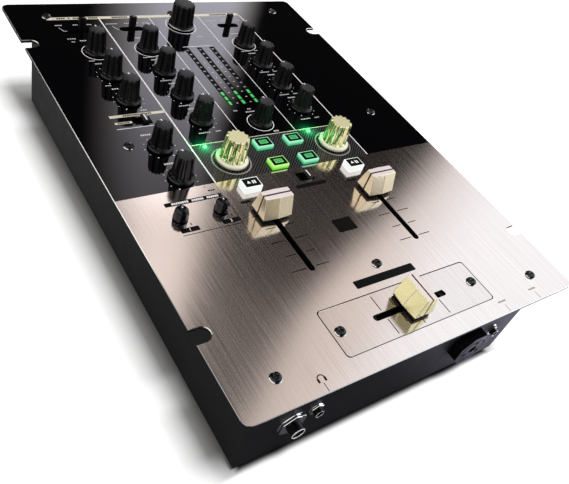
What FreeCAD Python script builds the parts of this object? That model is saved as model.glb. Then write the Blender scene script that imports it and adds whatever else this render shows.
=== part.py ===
import FreeCAD, Part
import math
import os

# Two-channel scratch mixer, in millimetres.
# X runs to the right, Y to the back and Z up. The origin is on the floor under the faceplate's centre.

# Faceplate and case
plate_width = 254.0
plate_depth = 363.6
plate_thickness = 2.0
plate_corner_radius = 5.0
foot_height = 4.0
foot_radius = 9.0
case_height = 72.6
case_half_width = 109.3
case_front = -171.6
case_back = 168.9
sheet = 1.2
fold_gap = 0.3
lip_width = 10.0
case_corner_radius = 1.5
front_edge_radius = 1.0
front_flange_depth = 10.0
front_flange_margin = 8.0
screw_tab_half = 7.0
screw_tab_reach = 6.0
screw_tab_half_width = 4.0
vent_pitch = 9.0
vent_count = 6
vent_first_y = -30.0
vent_x = 40.0
vent_half = (18.0, 1.5)

floor_gap_top = foot_height
plate_under = foot_height + case_height
plate_top = plate_under + plate_thickness

# Open notches in the faceplate's side edges, for the screws of a flight case or rack frame
notch_width = 9.0
notch_depth = 10.0
notch_y = 129.3

# Control layout on the faceplate
channel_x = 42.0
mic_column_x = -81.5
eq_top_y = 114.7
eq_pitch = 29.1
effect_knob_y = -15.5
cue_mix_y = 6.6
cue_level_y = -22.8
master_y = 145.3
booth_y = 17.4
curve_knob_y = -54.0
curve_knob_x = (-97.0, -70.5)

effect_button_x = 12.5
effect_button_y = (-5.8, -25.8)
cue_button_x = (-43.2, 40.8)
cue_button_y = -41.4

fader_travel = 45.2
channel_fader_top_y = -64.7
channel_fader_middle_y = channel_fader_top_y - fader_travel / 2
crossfader_y = -153.9

lever_x = 42.5
lever_y = 143.3
slide_switch_centres = {"left": (-81.4, 34.6), "centre": (0.0, -40.9)}

meter_x = (-11.0, 0.0, 11.0)
meter_middle_y = 76.4
meter_length = 74.0
meter_width = 4.2
status_led_offset = (-11.0, 16.3)
status_led_radius = 1.5

# Screws
screw_column_x = 100.1
screw_back_y = 163.5
screw_side_y = 11.8
screw_front_y = -164.3
screw_middle_y = -121.2
screw_shank_radius = 1.5
screw_head_radius = 3.1
screw_head_height = 1.7
screw_hole_radius = 1.7

# Potentiometers: heights count from the faceplate's top
pot_body_side = 11.0
pot_body_top = -3.0
board_top = -13.0
board_thickness = 1.6
bushing_radius = 3.45
bushing_top = 3.2
pot_hole_radius = 3.6
pot_nut_flats = 10.0
pot_nut_height = 2.0
shaft_radius = 3.0
running_clearance = 0.08
shaft_foot = -11.7
shaft_end_gap = 0.3
small_pot_side = 9.0
small_shaft_radius = 2.0

# Knobs: heights count from the faceplate's top
knob_lift = 0.8
nut_pocket_radius = 6.3
nut_pocket_height = 3.8
knob_crown = 3.0

# Fader parts: heights count from the faceplate's top
slot_width = 4.0
slot_end_margin = 2.9
cross_slot_end_margin = 5.9
stem_width = 1.2
stem_length = 4.4
stem_top = 10.0
cap_width = 20.6
cap_length = 14.6
cap_ridge_width = 19.6
cap_ridge_length = 7.2
cap_bottom = 2.6
cap_top = 16.0
plinth_bottom = 0.6
plinth_inset = 0.9
ridge_groove_width = 0.7
ridge_groove_depth = 0.8
frame_half_length = 30.0
frame_half_width = 7.0
frame_depth = 14.0
frame_wall = 1.5
channel_ear_length = 9.0
crossfader_ear_length = 26.0
ear_thickness = 1.5
ear_hole_inset = 3.6
rail_radius = 1.25
rail_offset = 3.6
rail_drop = 8.0
carriage_length = 8.0
carriage_width = 10.0
carriage_height = 5.0

# Crossfader plate, let into a rebate in the faceplate
cross_plate_half_width = 58.0
cross_plate_half_depth = 15.25
cross_plate_thickness = 1.0
cross_plate_gap = 0.45
cross_plate_corner = 2.5
cross_screw_x = 52.4
cross_opening_half_width = 46.0
cross_opening_half_depth = 11.0

# Buttons: heights count from the faceplate's top
button_gap = 0.3
button_travel = 1.0
effect_button_size = (12.6, 9.0, 3.0)
cue_button_size = (12.6, 8.8, 4.6)
button_flange_lip = 0.8
button_flange_height = 1.0
button_stop_gap = 0.1
button_stem_side = 3.5
push_switch_side = 6.0
push_switch_top = -9.4
push_stem_foot = -8.2

# Input selector levers: heights count from the faceplate's top
lever_pivot_drop = 20.0
lever_width = 5.0
lever_thickness = 3.0
lever_top = 10.6
lever_slot_half_length = 9.75
lever_slot_width = 6.0
lever_hub_radius = 3.0
trunnion_radius = 1.5
lever_body_half = (12.5, 6.0)
lever_cavity_half = (10.4, 3.5)
lever_body_foot = -26.0

# Slide switches
slide_slot_half = (6.1, 3.9)
slide_knob_half = (2.2, 3.4)
slide_knob_top = 2.6
slide_rest_offset = 1.8
slide_foot = -4.0
slide_body_top = -4.4

# Sockets: drop is measured from the faceplate's top to the socket's axis
headphone_jack_x = -80.0
headphone_jack_drop = 45.5
mini_jack_places = ((-65.0, 41.0), (85.0, 42.0))
mic_socket_x = 59.5
mic_socket_drop = 43.0
jack_barrel_radius = 4.5
jack_bore_radius = 3.2
jack_nose = 7.3
jack_bore_depth = 30.0
jack_body = (16.0, 26.0, 16.0)
jack_nut_flats = 15.5
jack_nut_height = 2.2
mini_barrel_radius = 3.0
mini_bore_radius = 1.8
mini_nose = 4.2
mini_bore_depth = 15.0
mini_body = (9.0, 12.0, 9.0)
mini_nut_flats = 8.0
mic_flange_half = 13.5
mic_flange_chamfer = 8.0
mic_nose = 7.0
mic_body_radius = 11.4
mic_body_depth = 24.0
mic_pin_circle = 6.7
mic_pin_hole_radius = 1.4
mic_ring_radius = 10.0

# Rear panel and what it carries
rear_opening = (96.0, 14.0, 60.0)
rear_panel_overlap = 6.0
rca_columns = 6
rca_first_x = -24.0
rca_pitch_x = 18.0
rca_rows_z = (27.5, 44.2)
rca_barrel_radius = 4.15
rca_nose = 9.5
rca_hole_radius = 1.65
balanced_jack_x = (-84.0, -66.0)
ground_x = -42.0
ground_z = 44.2
ground_stud_radius = 2.0
usb_x = -42.0
usb_z = 27.5
usb_half = (6.0, 5.5)
inlet_x = 80.0
inlet_z = 25.0
inlet_half = (5.0, 5.5)
inlet_bore_radius = 3.3
rocker_x = 85.5
rocker_z = 46.0
rocker_radius = 8.0
rocker_half_width = 5.0
rocker_tilt = 8.0
rocker_shell_half = (6.8, 9.5)
panel_hole_gap = 0.1
audio_board_top = 18.0


def box(x0, x1, y0, y1, z0, z1):
    """Block between two corners."""
    return Part.makeBox(x1 - x0, y1 - y0, z1 - z0, FreeCAD.Vector(x0, y0, z0))


def block(x, y, half_x, half_y, z0, z1):
    """Upright block centred on (x, y)."""
    return box(x - half_x, x + half_x, y - half_y, y + half_y, z0, z1)


def rod(x, y, radius, z0, z1):
    """Upright cylinder."""
    return Part.makeCylinder(radius, z1 - z0, FreeCAD.Vector(x, y, z0))


def rod_along(axis, point, radius, length):
    """Cylinder from a point along an axis given as a tuple."""
    return Part.makeCylinder(radius, length, FreeCAD.Vector(*point), FreeCAD.Vector(*axis))


def rounded_block(x, y, half_x, half_y, z0, z1, radius):
    """Upright block with round vertical corners."""
    shape = block(x, y, half_x, half_y, z0, z1)
    upright = [edge for edge in shape.Edges if abs(edge.tangentAt(edge.FirstParameter).z) > 0.99]
    return shape.makeFillet(radius, upright)


def slot(x, y, half_x, half_y, z0, z1):
    """Block with fully round ends on its longer direction."""
    radius = min(half_x, half_y)
    if half_x > half_y:
        reach = half_x - radius
        ends = [rod(x - reach, y, radius, z0, z1), rod(x + reach, y, radius, z0, z1)]
        middle = block(x, y, reach, radius, z0, z1)
    else:
        reach = half_y - radius
        ends = [rod(x, y - reach, radius, z0, z1), rod(x, y + reach, radius, z0, z1)]
        middle = block(x, y, radius, reach, z0, z1)
    return middle.fuse(ends).removeSplitter()


def hexagon(x, y, flats, z0, z1):
    """Upright hexagonal prism, by its width across the flats."""
    corner = flats / math.sqrt(3.0)
    points = []
    for step in range(7):
        angle = math.radians(60.0 * step)
        points.append(FreeCAD.Vector(x + corner * math.cos(angle), y + corner * math.sin(angle), z0))
    return Part.Face(Part.makePolygon(points)).extrude(FreeCAD.Vector(0, 0, z1 - z0))


def turned(points):
    """Solid of revolution about Z from (radius, height) points."""
    outline = [FreeCAD.Vector(radius, 0, height) for radius, height in points]
    outline.append(outline[0])
    face = Part.Face(Part.makePolygon(outline))
    return face.revolve(FreeCAD.Vector(0, 0, 0), FreeCAD.Vector(0, 0, 1), 360)


def join(shapes):
    """One solid from touching or overlapping shapes."""
    return shapes[0].fuse(shapes[1:]).removeSplitter()


def moved(shape, x, y, z):
    """Copy of a shape, shifted."""
    copy = shape.copy()
    copy.translate(FreeCAD.Vector(x, y, z))
    return copy


def aimed_along_y(shape, direction):
    """Copy of an upright shape about the Z axis, laid down so that its +Z points along +Y or -Y."""
    copy = shape.copy()
    copy.rotate(FreeCAD.Vector(0, 0, 0), FreeCAD.Vector(1, 0, 0), -90.0 * direction)
    return copy


def save(name, shapes):
    """Write one node, as a solid or as a group of separate solids."""
    solids = []
    for shape in shapes:
        solids.extend(shape.Solids)
    shape = solids[0] if len(solids) == 1 else Part.makeCompound(solids)
    shape.exportStep("parts/" + name + ".step")


# Where every knob stands, with its kind
def knob_layout():
    """Node name, kind and place of each knob."""
    rows = [eq_top_y - eq_pitch * step for step in range(4)]
    layout = [
        ("mic_level_knob", "plain", mic_column_x, rows[0]),
        ("mic_high_knob", "plain", mic_column_x, rows[1]),
        ("mic_low_knob", "plain", mic_column_x, rows[2]),
        ("cue_mix_knob", "plain", mic_column_x, cue_mix_y),
        ("cue_level_knob", "plain", mic_column_x, cue_level_y),
        ("master_level_knob", "large", 0.0, master_y),
        ("booth_level_knob", "plain", 0.0, booth_y),
        ("left_curve_knob", "small", curve_knob_x[0], curve_knob_y),
        ("right_curve_knob", "small", curve_knob_x[1], curve_knob_y),
    ]
    for number, side in ((1, -1.0), (2, 1.0)):
        x = side * channel_x
        for word, y in zip(("gain", "high", "mid", "low"), rows):
            layout.append(("channel_%d_%s_knob" % (number, word), "plain", x, y))
        layout.append(("channel_%d_effect_knob" % number, "effect", x, effect_knob_y))
    return layout


knobs = knob_layout()
status_leds = [(side * channel_x + status_led_offset[0], effect_knob_y + status_led_offset[1])
               for side in (-1.0, 1.0)]
effect_buttons = [(x, y) for y in effect_button_y for x in (-effect_button_x, effect_button_x)]
cue_buttons = [(x, cue_button_y) for x in cue_button_x]
levers = {"channel_1": (-lever_x, lever_y), "channel_2": (lever_x, lever_y), "mic": (mic_column_x, lever_y)}
case_edge_screws = [(side * screw_column_x, y) for side in (-1.0, 1.0)
                    for y in (screw_back_y, screw_side_y, screw_front_y)] + [(0.0, screw_back_y)]
plate_screws = case_edge_screws + [(0.0, screw_middle_y)]
cross_screws = [(-cross_screw_x, crossfader_y), (cross_screw_x, crossfader_y)]
feet = [(x, y) for x in (-90.0, 90.0) for y in (-150.0, 147.0)]
bottom_screws = [(x, y) for x in (-103.0, 103.0) for y in (-100.0, 0.0, 100.0)]
rear_screws = [(x, z) for x in (-99.0, 99.0) for z in (22.0, 62.0)]
board_posts = [(x, y) for x in (-98.0, 98.0) for y in (148.0, -36.0)] + [(0.0, screw_middle_y)]
audio_posts = [(x, y) for x in (-92.0, 92.0) for y in (70.0, 120.0)]
headphone_z = plate_top - headphone_jack_drop
mini_jacks = [(x, plate_top - drop) for x, drop in mini_jack_places]
mic_z = plate_top - mic_socket_drop
wall_inner_front = case_front + sheet
wall_inner_back = case_back - sheet
above = plate_top + 1.0
below = plate_under - 1.0


# Faceplate
def make_faceplate():
    """Flat plate with the holes for every control and the rebate for the crossfader plate."""
    plate = rounded_block(0, 0, plate_width / 2, plate_depth / 2, plate_under, plate_top, plate_corner_radius)
    cuts = []
    for side in (-1.0, 1.0):
        edge = side * plate_width / 2
        for y in (-notch_y, notch_y):
            reach = notch_depth - notch_width / 2
            cuts.append(block(edge, y, reach, notch_width / 2, below, above))
            cuts.append(rod(edge - side * reach, y, notch_width / 2, below, above))
    for name, kind, x, y in knobs:
        radius = small_shaft_radius + 0.6 if kind == "small" else pot_hole_radius
        cuts.append(rod(x, y, radius, below, above))
    slot_half = fader_travel / 2 + slot_end_margin
    for x in (-channel_x, channel_x):
        cuts.append(slot(x, channel_fader_middle_y, slot_width / 2, slot_half, below, above))
    for places, size in ((effect_buttons, effect_button_size), (cue_buttons, cue_button_size)):
        for x, y in places:
            cuts.append(block(x, y, size[0] / 2 + button_gap, size[1] / 2 + button_gap, below, above))
    for x, y in levers.values():
        cuts.append(slot(x, y, lever_slot_half_length, lever_slot_width / 2, below, above))
    for x, y in slide_switch_centres.values():
        cuts.append(block(x, y, slide_slot_half[0], slide_slot_half[1], below, above))
    for x in meter_x:
        cuts.append(block(x, meter_middle_y, meter_width / 2 + 0.1, meter_length / 2 + 0.1, below, above))
    for x, y in status_leds:
        cuts.append(rod(x, y, status_led_radius + 0.15, below, above))
    for x, y in plate_screws + cross_screws:
        cuts.append(rod(x, y, screw_hole_radius, below, above))
    cuts.append(rounded_block(0, crossfader_y, cross_plate_half_width + cross_plate_gap,
                              cross_plate_half_depth + cross_plate_gap,
                              plate_top - cross_plate_thickness, above, cross_plate_corner))
    cuts.append(block(0, crossfader_y, cross_opening_half_width, cross_opening_half_depth, below, above))
    save("faceplate", [plate.cut(cuts)])


def make_crossfader_plate():
    """Removable plate round the crossfader, flush with the faceplate."""
    bottom = plate_top - cross_plate_thickness
    plate = rounded_block(0, crossfader_y, cross_plate_half_width, cross_plate_half_depth,
                          bottom, plate_top, cross_plate_corner)
    cuts = [rod(x, y, screw_hole_radius, below, above) for x, y in cross_screws]
    slot_half = fader_travel / 2 + cross_slot_end_margin
    cuts.append(slot(0, crossfader_y, slot_half, slot_width / 2, below, above))
    save("crossfader_plate", [plate.cut(cuts)])


# Case
def upright_edges(shape, low_y, high_y):
    """Vertical edges of a shape that lie between two places along Y."""
    chosen = []
    for edge in shape.Edges:
        upright = abs(edge.tangentAt(edge.FirstParameter).z) > 0.99
        if upright and low_y < edge.BoundBox.Center.y < high_y:
            chosen.append(edge)
    return chosen


def make_case_body():
    """Left, rear and right walls folded from one sheet, with screw tabs above and a lip below."""
    inner_x = case_half_width - sheet
    outer = box(-case_half_width, case_half_width, wall_inner_front, case_back, floor_gap_top, plate_under)
    outer = outer.makeFillet(case_corner_radius, upright_edges(outer, case_back - 1, case_back + 1))
    inner = box(-inner_x, inner_x, wall_inner_front - 1, wall_inner_back, floor_gap_top - 1, plate_under + 1)
    walls = outer.cut(inner)
    lip_low = floor_gap_top + sheet
    lip = box(-inner_x, inner_x, wall_inner_front, wall_inner_back, lip_low, lip_low + sheet)
    lip_x = case_half_width - lip_width
    lip = lip.cut(box(-lip_x, lip_x, wall_inner_front - 1, case_back - lip_width, 0, plate_under))
    tabs = []
    tab_low = plate_under - sheet
    for x, y in case_edge_screws:
        if abs(x) > 1.0:
            side = math.copysign(1.0, x)
            ends = sorted((x - side * screw_tab_reach, side * (case_half_width - sheet / 2)))
            tabs.append(box(ends[0], ends[1], y - screw_tab_half_width, y + screw_tab_half_width,
                            tab_low, plate_under))
        else:
            tabs.append(box(-screw_tab_half, screw_tab_half, y - screw_tab_reach, wall_inner_back + sheet / 2,
                            tab_low, plate_under))
    body = join([walls, lip] + tabs)
    cuts = [rod(x, y, screw_shank_radius, tab_low - 1, plate_under + 1) for x, y in case_edge_screws]
    cuts += [rod(x, y, screw_shank_radius, floor_gap_top, lip_low + sheet + 1) for x, y in bottom_screws]
    half_x, low, high = rear_opening
    cuts.append(box(-half_x, half_x, wall_inner_back - 1, case_back + 1, low, high))
    for x, z in rear_screws:
        cuts.append(rod_along((0, 1, 0), (x, wall_inner_back - 1, z), screw_hole_radius, sheet + 2))
    save("case_body", [body.cut(cuts)])


def make_front_panel():
    """Front wall with the socket holes and a flange folded in behind each side wall."""
    wall = box(-case_half_width, case_half_width, case_front, wall_inner_front, floor_gap_top, plate_under)
    wall = wall.makeFillet(front_edge_radius, upright_edges(wall, case_front - 0.5, case_front + 0.5))
    flanges = []
    for side in (-1.0, 1.0):
        ends = sorted((side * (case_half_width - sheet), side * (case_half_width - 2 * sheet)))
        flanges.append(box(ends[0], ends[1], wall_inner_front, wall_inner_front + front_flange_depth,
                           floor_gap_top + front_flange_margin, plate_under - front_flange_margin))
    holes = [(headphone_jack_x, headphone_z, jack_barrel_radius + panel_hole_gap),
             (mic_socket_x, mic_z, mic_body_radius + 0.2)]
    holes += [(x, z, mini_barrel_radius + panel_hole_gap) for x, z in mini_jacks]
    cuts = [rod_along((0, 1, 0), (x, case_front - 1, z), radius, sheet + 2) for x, z, radius in holes]
    panel = wall.cut(cuts)
    save("front_panel", [join([panel] + flanges)])


def make_bottom_cover():
    """Flat cover under the case, with vent slots."""
    middle_y = (case_front + case_back) / 2
    half_depth = (case_back - case_front) / 2
    cover = block(0, middle_y, case_half_width - sheet - fold_gap, half_depth - sheet - fold_gap,
                  floor_gap_top, floor_gap_top + sheet)
    cuts = [rod(x, y, screw_hole_radius, 0, 10) for x, y in bottom_screws]
    cuts += [rod(x, y, screw_shank_radius, 0, 10) for x, y in feet]
    for side in (-1.0, 1.0):
        for step in range(vent_count):
            y = vent_first_y + vent_pitch * step
            cuts.append(slot(side * vent_x, y, vent_half[0], vent_half[1], 0, 10))
    save("bottom_cover", [cover.cut(cuts)])


def make_rear_panel():
    """Connector panel behind the opening in the case's rear wall."""
    half_x, low, high = rear_opening
    reach = rear_panel_overlap
    panel = box(-half_x - reach, half_x + reach, wall_inner_back - sheet, wall_inner_back,
                low - reach, high + reach)
    start = wall_inner_back - sheet - 1
    through = sheet + 2
    cuts = [rod_along((0, 1, 0), (x, start, z), screw_shank_radius, through) for x, z in rear_screws]
    for x, z in rca_places():
        cuts.append(rod_along((0, 1, 0), (x, start, z), rca_barrel_radius + panel_hole_gap, through))
    for x, z in balanced_places():
        cuts.append(rod_along((0, 1, 0), (x, start, z), jack_barrel_radius + panel_hole_gap, through))
    stud_hole = ground_stud_radius + panel_hole_gap
    cuts.append(rod_along((0, 1, 0), (ground_x, start, ground_z), stud_hole, through))
    for x, z, half in ((usb_x, usb_z, usb_half), (inlet_x, inlet_z, inlet_half),
                       (rocker_x, rocker_z, rocker_shell_half)):
        half_width = half[0] + panel_hole_gap
        half_height = half[1] + panel_hole_gap
        cuts.append(box(x - half_width, x + half_width, start, start + through,
                        z - half_height, z + half_height))
    save("rear_panel", [panel.cut(cuts)])


def rca_places():
    """Centres of the phono sockets on the rear panel, as (x, z)."""
    return [(rca_first_x + rca_pitch_x * step, z) for step in range(rca_columns) for z in rca_rows_z]


def balanced_places():
    """Centres of the quarter-inch outputs on the rear panel, as (x, z)."""
    return [(x, z) for x in balanced_jack_x for z in rca_rows_z]


def make_feet():
    """Four rubber feet, each with a hole for its screw."""
    shapes = []
    for x, y in feet:
        foot = turned([(0, 0), (foot_radius - 1, 0), (foot_radius, 1), (foot_radius, foot_height),
                       (0, foot_height)])
        well = rod(0, 0, screw_head_radius + 0.3, -1, screw_head_height + 0.4)
        foot = foot.cut([well, rod(0, 0, screw_hole_radius, -1, foot_height + 1)])
        shapes.append(moved(foot, x, y, 0))
    save("rubber_feet", shapes)


# Fasteners
def cross_screw(length):
    """Pan-head screw with a cross recess; its head sits on z = 0 and its shank hangs below."""
    edge = 0.5
    head = turned([(0, 0), (screw_head_radius, 0), (screw_head_radius, screw_head_height - 2 * edge),
                   (screw_head_radius - edge, screw_head_height - edge / 2),
                   (screw_head_radius - 3 * edge, screw_head_height), (0, screw_head_height)])
    shank = rod(0, 0, screw_shank_radius, -length, 0)
    recess_half = (1.6, 0.35)
    recess_floor = screw_head_height - 0.9
    recess = [block(0, 0, recess_half[0], recess_half[1], recess_floor, screw_head_height + 1),
              block(0, 0, recess_half[1], recess_half[0], recess_floor, screw_head_height + 1)]
    return join([head, shank]).cut(recess)


def make_screws():
    """Groups of like screws for the two plates on top and for the case."""
    plate_screw = cross_screw(plate_thickness + 4.0)
    save("faceplate_screws", [moved(plate_screw, x, y, plate_top) for x, y in plate_screws + cross_screws])
    upward = cross_screw(4.0)
    upward.rotate(FreeCAD.Vector(0, 0, 0), FreeCAD.Vector(1, 0, 0), 180)
    rearward = aimed_along_y(cross_screw(4.0), 1)
    foot_seat = screw_head_height + 0.4
    longer = cross_screw(foot_height - foot_seat + sheet + 2.0)
    longer.rotate(FreeCAD.Vector(0, 0, 0), FreeCAD.Vector(1, 0, 0), 180)
    group = [moved(upward, x, y, floor_gap_top) for x, y in bottom_screws]
    group += [moved(longer, x, y, foot_seat) for x, y in feet]
    group += [moved(rearward, x, case_back, z) for x, z in rear_screws]
    save("case_screws", group)


# Boards
def make_boards():
    """Control board under the faceplate, audio board over the base, and the posts that hold them."""
    top = plate_top + board_top
    board = box(-104, 104, -128, 156, top - board_thickness, top)
    cuts = []
    for x in (-channel_x, channel_x):
        cuts.append(block(x, channel_fader_middle_y, frame_half_width + 2, frame_half_length + 3,
                          top - 3, top + 1))
    for x, y in levers.values():
        cuts.append(block(x, y, lever_body_half[0] + 0.5, lever_body_half[1] + 0.5, top - 3, top + 1))
    audio = box(-98, 98, 58, wall_inner_back - sheet - 12, audio_board_top - board_thickness, audio_board_top)
    save("circuit_boards", [board.cut(cuts), audio])
    post_radius = 3.0
    thread = screw_shank_radius
    posts = []
    for x, y in board_posts:
        post = rod(x, y, post_radius, top, plate_under)
        posts.append(post.cut(rod(x, y, thread, plate_under - 5, plate_under + 1)))
    base_top = floor_gap_top + sheet
    for x, y in audio_posts:
        posts.append(rod(x, y, post_radius, base_top, audio_board_top - board_thickness))
    save("board_standoffs", posts)


# Potentiometers
def make_potentiometers():
    """One potentiometer under each knob, with its nut on the faceplate."""
    bodies = []
    nuts = []
    for name, kind, x, y in knobs:
        if kind == "small":
            body = block(0, 0, small_pot_side / 2, small_pot_side / 2, board_top, pot_body_top)
            bore = rod(0, 0, small_shaft_radius + running_clearance, shaft_foot - shaft_end_gap, 0)
            bodies.append(moved(body.cut(bore), x, y, plate_top))
            continue
        body = block(0, 0, pot_body_side / 2, pot_body_side / 2, board_top, pot_body_top)
        body = join([body, rod(0, 0, bushing_radius, pot_body_top - 1, bushing_top)])
        bore = rod(0, 0, shaft_radius + running_clearance, shaft_foot - shaft_end_gap, bushing_top + 1)
        bodies.append(moved(body.cut(bore), x, y, plate_top))
        nut = hexagon(0, 0, pot_nut_flats, 0, pot_nut_height).cut(rod(0, 0, bushing_radius, -1, 5))
        nuts.append(moved(nut, x, y, plate_top))
    save("potentiometers", bodies)
    save("potentiometer_nuts", nuts)


# Knobs
def fluted(body, count, radius, low, high, foot_circle, head_circle):
    """Cut leaning round grooves into a tapered body, from the foot circle to the head circle."""
    grooves = []
    for step in range(count):
        angle = 2.0 * math.pi * (step + 0.5) / count
        foot = FreeCAD.Vector(foot_circle * math.cos(angle), foot_circle * math.sin(angle), low)
        head = FreeCAD.Vector(head_circle * math.cos(angle), head_circle * math.sin(angle), high)
        grooves.append(Part.makeCylinder(radius, (head - foot).Length, foot, head - foot))
    return body.cut(grooves)


def plain_knob(top):
    """Black knob with a low skirt and broad flutes."""
    body = turned([(0, knob_lift), (8.3, knob_lift), (8.3, 2.0), (7.6, 2.7), (6.7, 3.0),
                   (5.75, top - 0.5), (5.2, top), (0, top)])
    return fluted(body, 12, 1.4, 3.6, top + 1, 7.75, 6.75)


def large_knob(top):
    """Bigger master knob of the same make."""
    body = turned([(0, knob_lift), (10.2, knob_lift), (10.2, 2.4), (9.6, 3.0), (9.1, 3.2),
                   (8.4, top - 0.6), (7.7, top), (0, top)])
    return fluted(body, 14, 1.6, 3.8, top + 1, 10.25, 9.55)


def effect_knob(top):
    """Metal knob with a round flange and deep flutes."""
    body = turned([(0, knob_lift), (10.3, knob_lift), (10.8, 1.3), (10.8, 2.2), (10.1, 3.1), (8.9, 3.4),
                   (8.5, 4.4), (7.6, top - 0.7), (7.0, top), (0, top)])
    return fluted(body, 12, 1.25, 4.6, top + 1, 9.0, 7.8)


def small_knob(top):
    """Small knob with nearly straight sides."""
    return turned([(0, knob_lift), (4.6, knob_lift), (4.6, 1.5), (4.4, 1.9), (4.2, top - 1.0),
                   (3.4, top), (0, top)])


knob_tops = {"plain": 18.0, "large": 19.4, "effect": 19.4, "small": 8.4}
knob_makers = {"plain": plain_knob, "large": large_knob, "effect": effect_knob, "small": small_knob}


def make_knobs():
    """Each knob on its shaft: two solids that turn together."""
    for name, kind, x, y in knobs:
        top = knob_tops[kind]
        radius = small_shaft_radius if kind == "small" else shaft_radius
        shaft_head = top - (2.0 if kind == "small" else knob_crown)
        knob = knob_makers[kind](top)
        cuts = [rod(0, 0, radius, 0, shaft_head)]
        if kind != "small":
            cuts.append(rod(0, 0, nut_pocket_radius, 0, nut_pocket_height))
        knob = knob.cut(cuts)
        shaft = rod(0, 0, radius, shaft_foot, shaft_head)
        save(name, [moved(knob, x, y, plate_top), moved(shaft, x, y, plate_top)])


# Faders, drawn about the origin with their travel along Y and heights from the faceplate's top
def fader_frame(ear_length):
    """Sheet channel with a slotted roof, closed ends, mounting ears and two rails."""
    roof = -plate_thickness
    foot = roof - frame_depth
    outer = box(-frame_half_width, frame_half_width, -frame_half_length, frame_half_length, foot, roof)
    inner = box(-frame_half_width + frame_wall, frame_half_width - frame_wall,
                -frame_half_length + frame_wall, frame_half_length - frame_wall,
                foot + frame_wall, roof - frame_wall)
    roof_slot = slot(0, 0, slot_width / 2, fader_travel / 2 + slot_end_margin, roof - 3, roof + 1)
    reach = frame_half_length + ear_length
    ears = [box(-5, 5, -reach, -frame_half_length, roof - ear_thickness, roof),
            box(-5, 5, frame_half_length, reach, roof - ear_thickness, roof)]
    frame = join([outer] + ears).cut([inner, roof_slot])
    hole_y = reach - ear_hole_inset
    holes = [rod(0, side * hole_y, screw_shank_radius, roof - 3, roof + 1) for side in (-1.0, 1.0)]
    rail_length = 2 * (frame_half_length - frame_wall)
    rails = []
    for x in (-rail_offset, rail_offset):
        rails.append(rod_along((0, 1, 0), (x, -rail_length / 2, roof - rail_drop), rail_radius, rail_length))
    return [frame.cut(holes)] + rails


def fader_carriage():
    """Wiper block that rides on the rails, with the flat stem that carries the cap."""
    middle = -plate_thickness - rail_drop
    wiper = box(-carriage_width / 2, carriage_width / 2, -carriage_length / 2, carriage_length / 2,
                middle - carriage_height / 2, middle + carriage_height / 2)
    bore_radius = rail_radius + running_clearance
    bores = [rod_along((0, 1, 0), (x, -carriage_length, middle), bore_radius, 2 * carriage_length)
             for x in (-rail_offset, rail_offset)]
    stem = box(-stem_width / 2, stem_width / 2, -stem_length / 2, stem_length / 2, middle, stem_top)
    return join([wiper.cut(bores), stem])


def fader_cap():
    """Wedge cap with a ridge across the travel, a groove round the ridge and a plinth below."""
    corners = {}
    for name, half_x, half_y, z in (("low", cap_width / 2, cap_length / 2, cap_bottom),
                                    ("high", cap_ridge_width / 2, cap_ridge_length / 2, cap_top)):
        signs = ((-1, -1), (1, -1), (1, 1), (-1, 1), (-1, -1))
        points = [FreeCAD.Vector(sx * half_x, sy * half_y, z) for sx, sy in signs]
        corners[name] = Part.makePolygon(points)
    wedge = Part.makeLoft([corners["low"], corners["high"]], True, True)
    wedge = wedge.makeFillet(0.9, [edge for edge in wedge.Edges if edge.BoundBox.ZMax > cap_top - 0.1])
    core_half_x = cap_ridge_width / 2 - ridge_groove_depth
    core = box(-core_half_x, core_half_x, -1, 1, cap_bottom - 1, cap_top - ridge_groove_depth)
    ring = box(-cap_width, cap_width, -ridge_groove_width / 2, ridge_groove_width / 2,
               cap_bottom - 1, cap_top + 1)
    wedge = wedge.cut(ring.cut(core))
    plinth = box(-cap_width / 2 + plinth_inset, cap_width / 2 - plinth_inset,
                 -cap_length / 2 + plinth_inset, cap_length / 2 - plinth_inset, plinth_bottom, cap_bottom)
    socket = box(-stem_width / 2, stem_width / 2, -stem_length / 2, stem_length / 2, -1, stem_top)
    return join([wedge, plinth]).cut(socket)


def make_faders():
    """Two channel faders along Y, pushed up, and the crossfader along X, in its middle."""
    frames = []
    for number, x in ((1, -channel_x), (2, channel_x)):
        for shape in fader_frame(channel_ear_length):
            frames.append(moved(shape, x, channel_fader_middle_y, plate_top))
        fader = "channel_%d_fader" % number
        save(fader + "_carriage", [moved(fader_carriage(), x, channel_fader_top_y, plate_top)])
        save(fader + "_cap", [moved(fader_cap(), x, channel_fader_top_y, plate_top)])
    turn = (FreeCAD.Vector(0, 0, 0), FreeCAD.Vector(0, 0, 1), 90)
    for shape in fader_frame(crossfader_ear_length):
        shape.rotate(*turn)
        frames.append(moved(shape, 0, crossfader_y, plate_top))
    for name, shape in (("crossfader_carriage", fader_carriage()), ("crossfader_cap", fader_cap())):
        shape.rotate(*turn)
        save(name, [moved(shape, 0, crossfader_y, plate_top)])
    save("fader_frames", frames)


# Buttons
def button(size):
    """Cap with a stop flange and a stem, drawn from the faceplate's top."""
    half_x, half_y, height = size[0] / 2, size[1] / 2, size[2]
    flange_top = -plate_thickness - button_stop_gap
    flange_foot = flange_top - button_flange_height
    cap = rounded_block(0, 0, half_x, half_y, flange_foot, height, 0.8)
    cap = cap.makeFillet(0.6, [edge for edge in cap.Edges if edge.BoundBox.ZMin > height - 0.01])
    flange = block(0, 0, half_x + button_flange_lip, half_y + button_flange_lip, flange_foot, flange_top)
    stem = block(0, 0, button_stem_side / 2, button_stem_side / 2, push_stem_foot, flange_foot)
    return join([cap, flange, stem])


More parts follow.
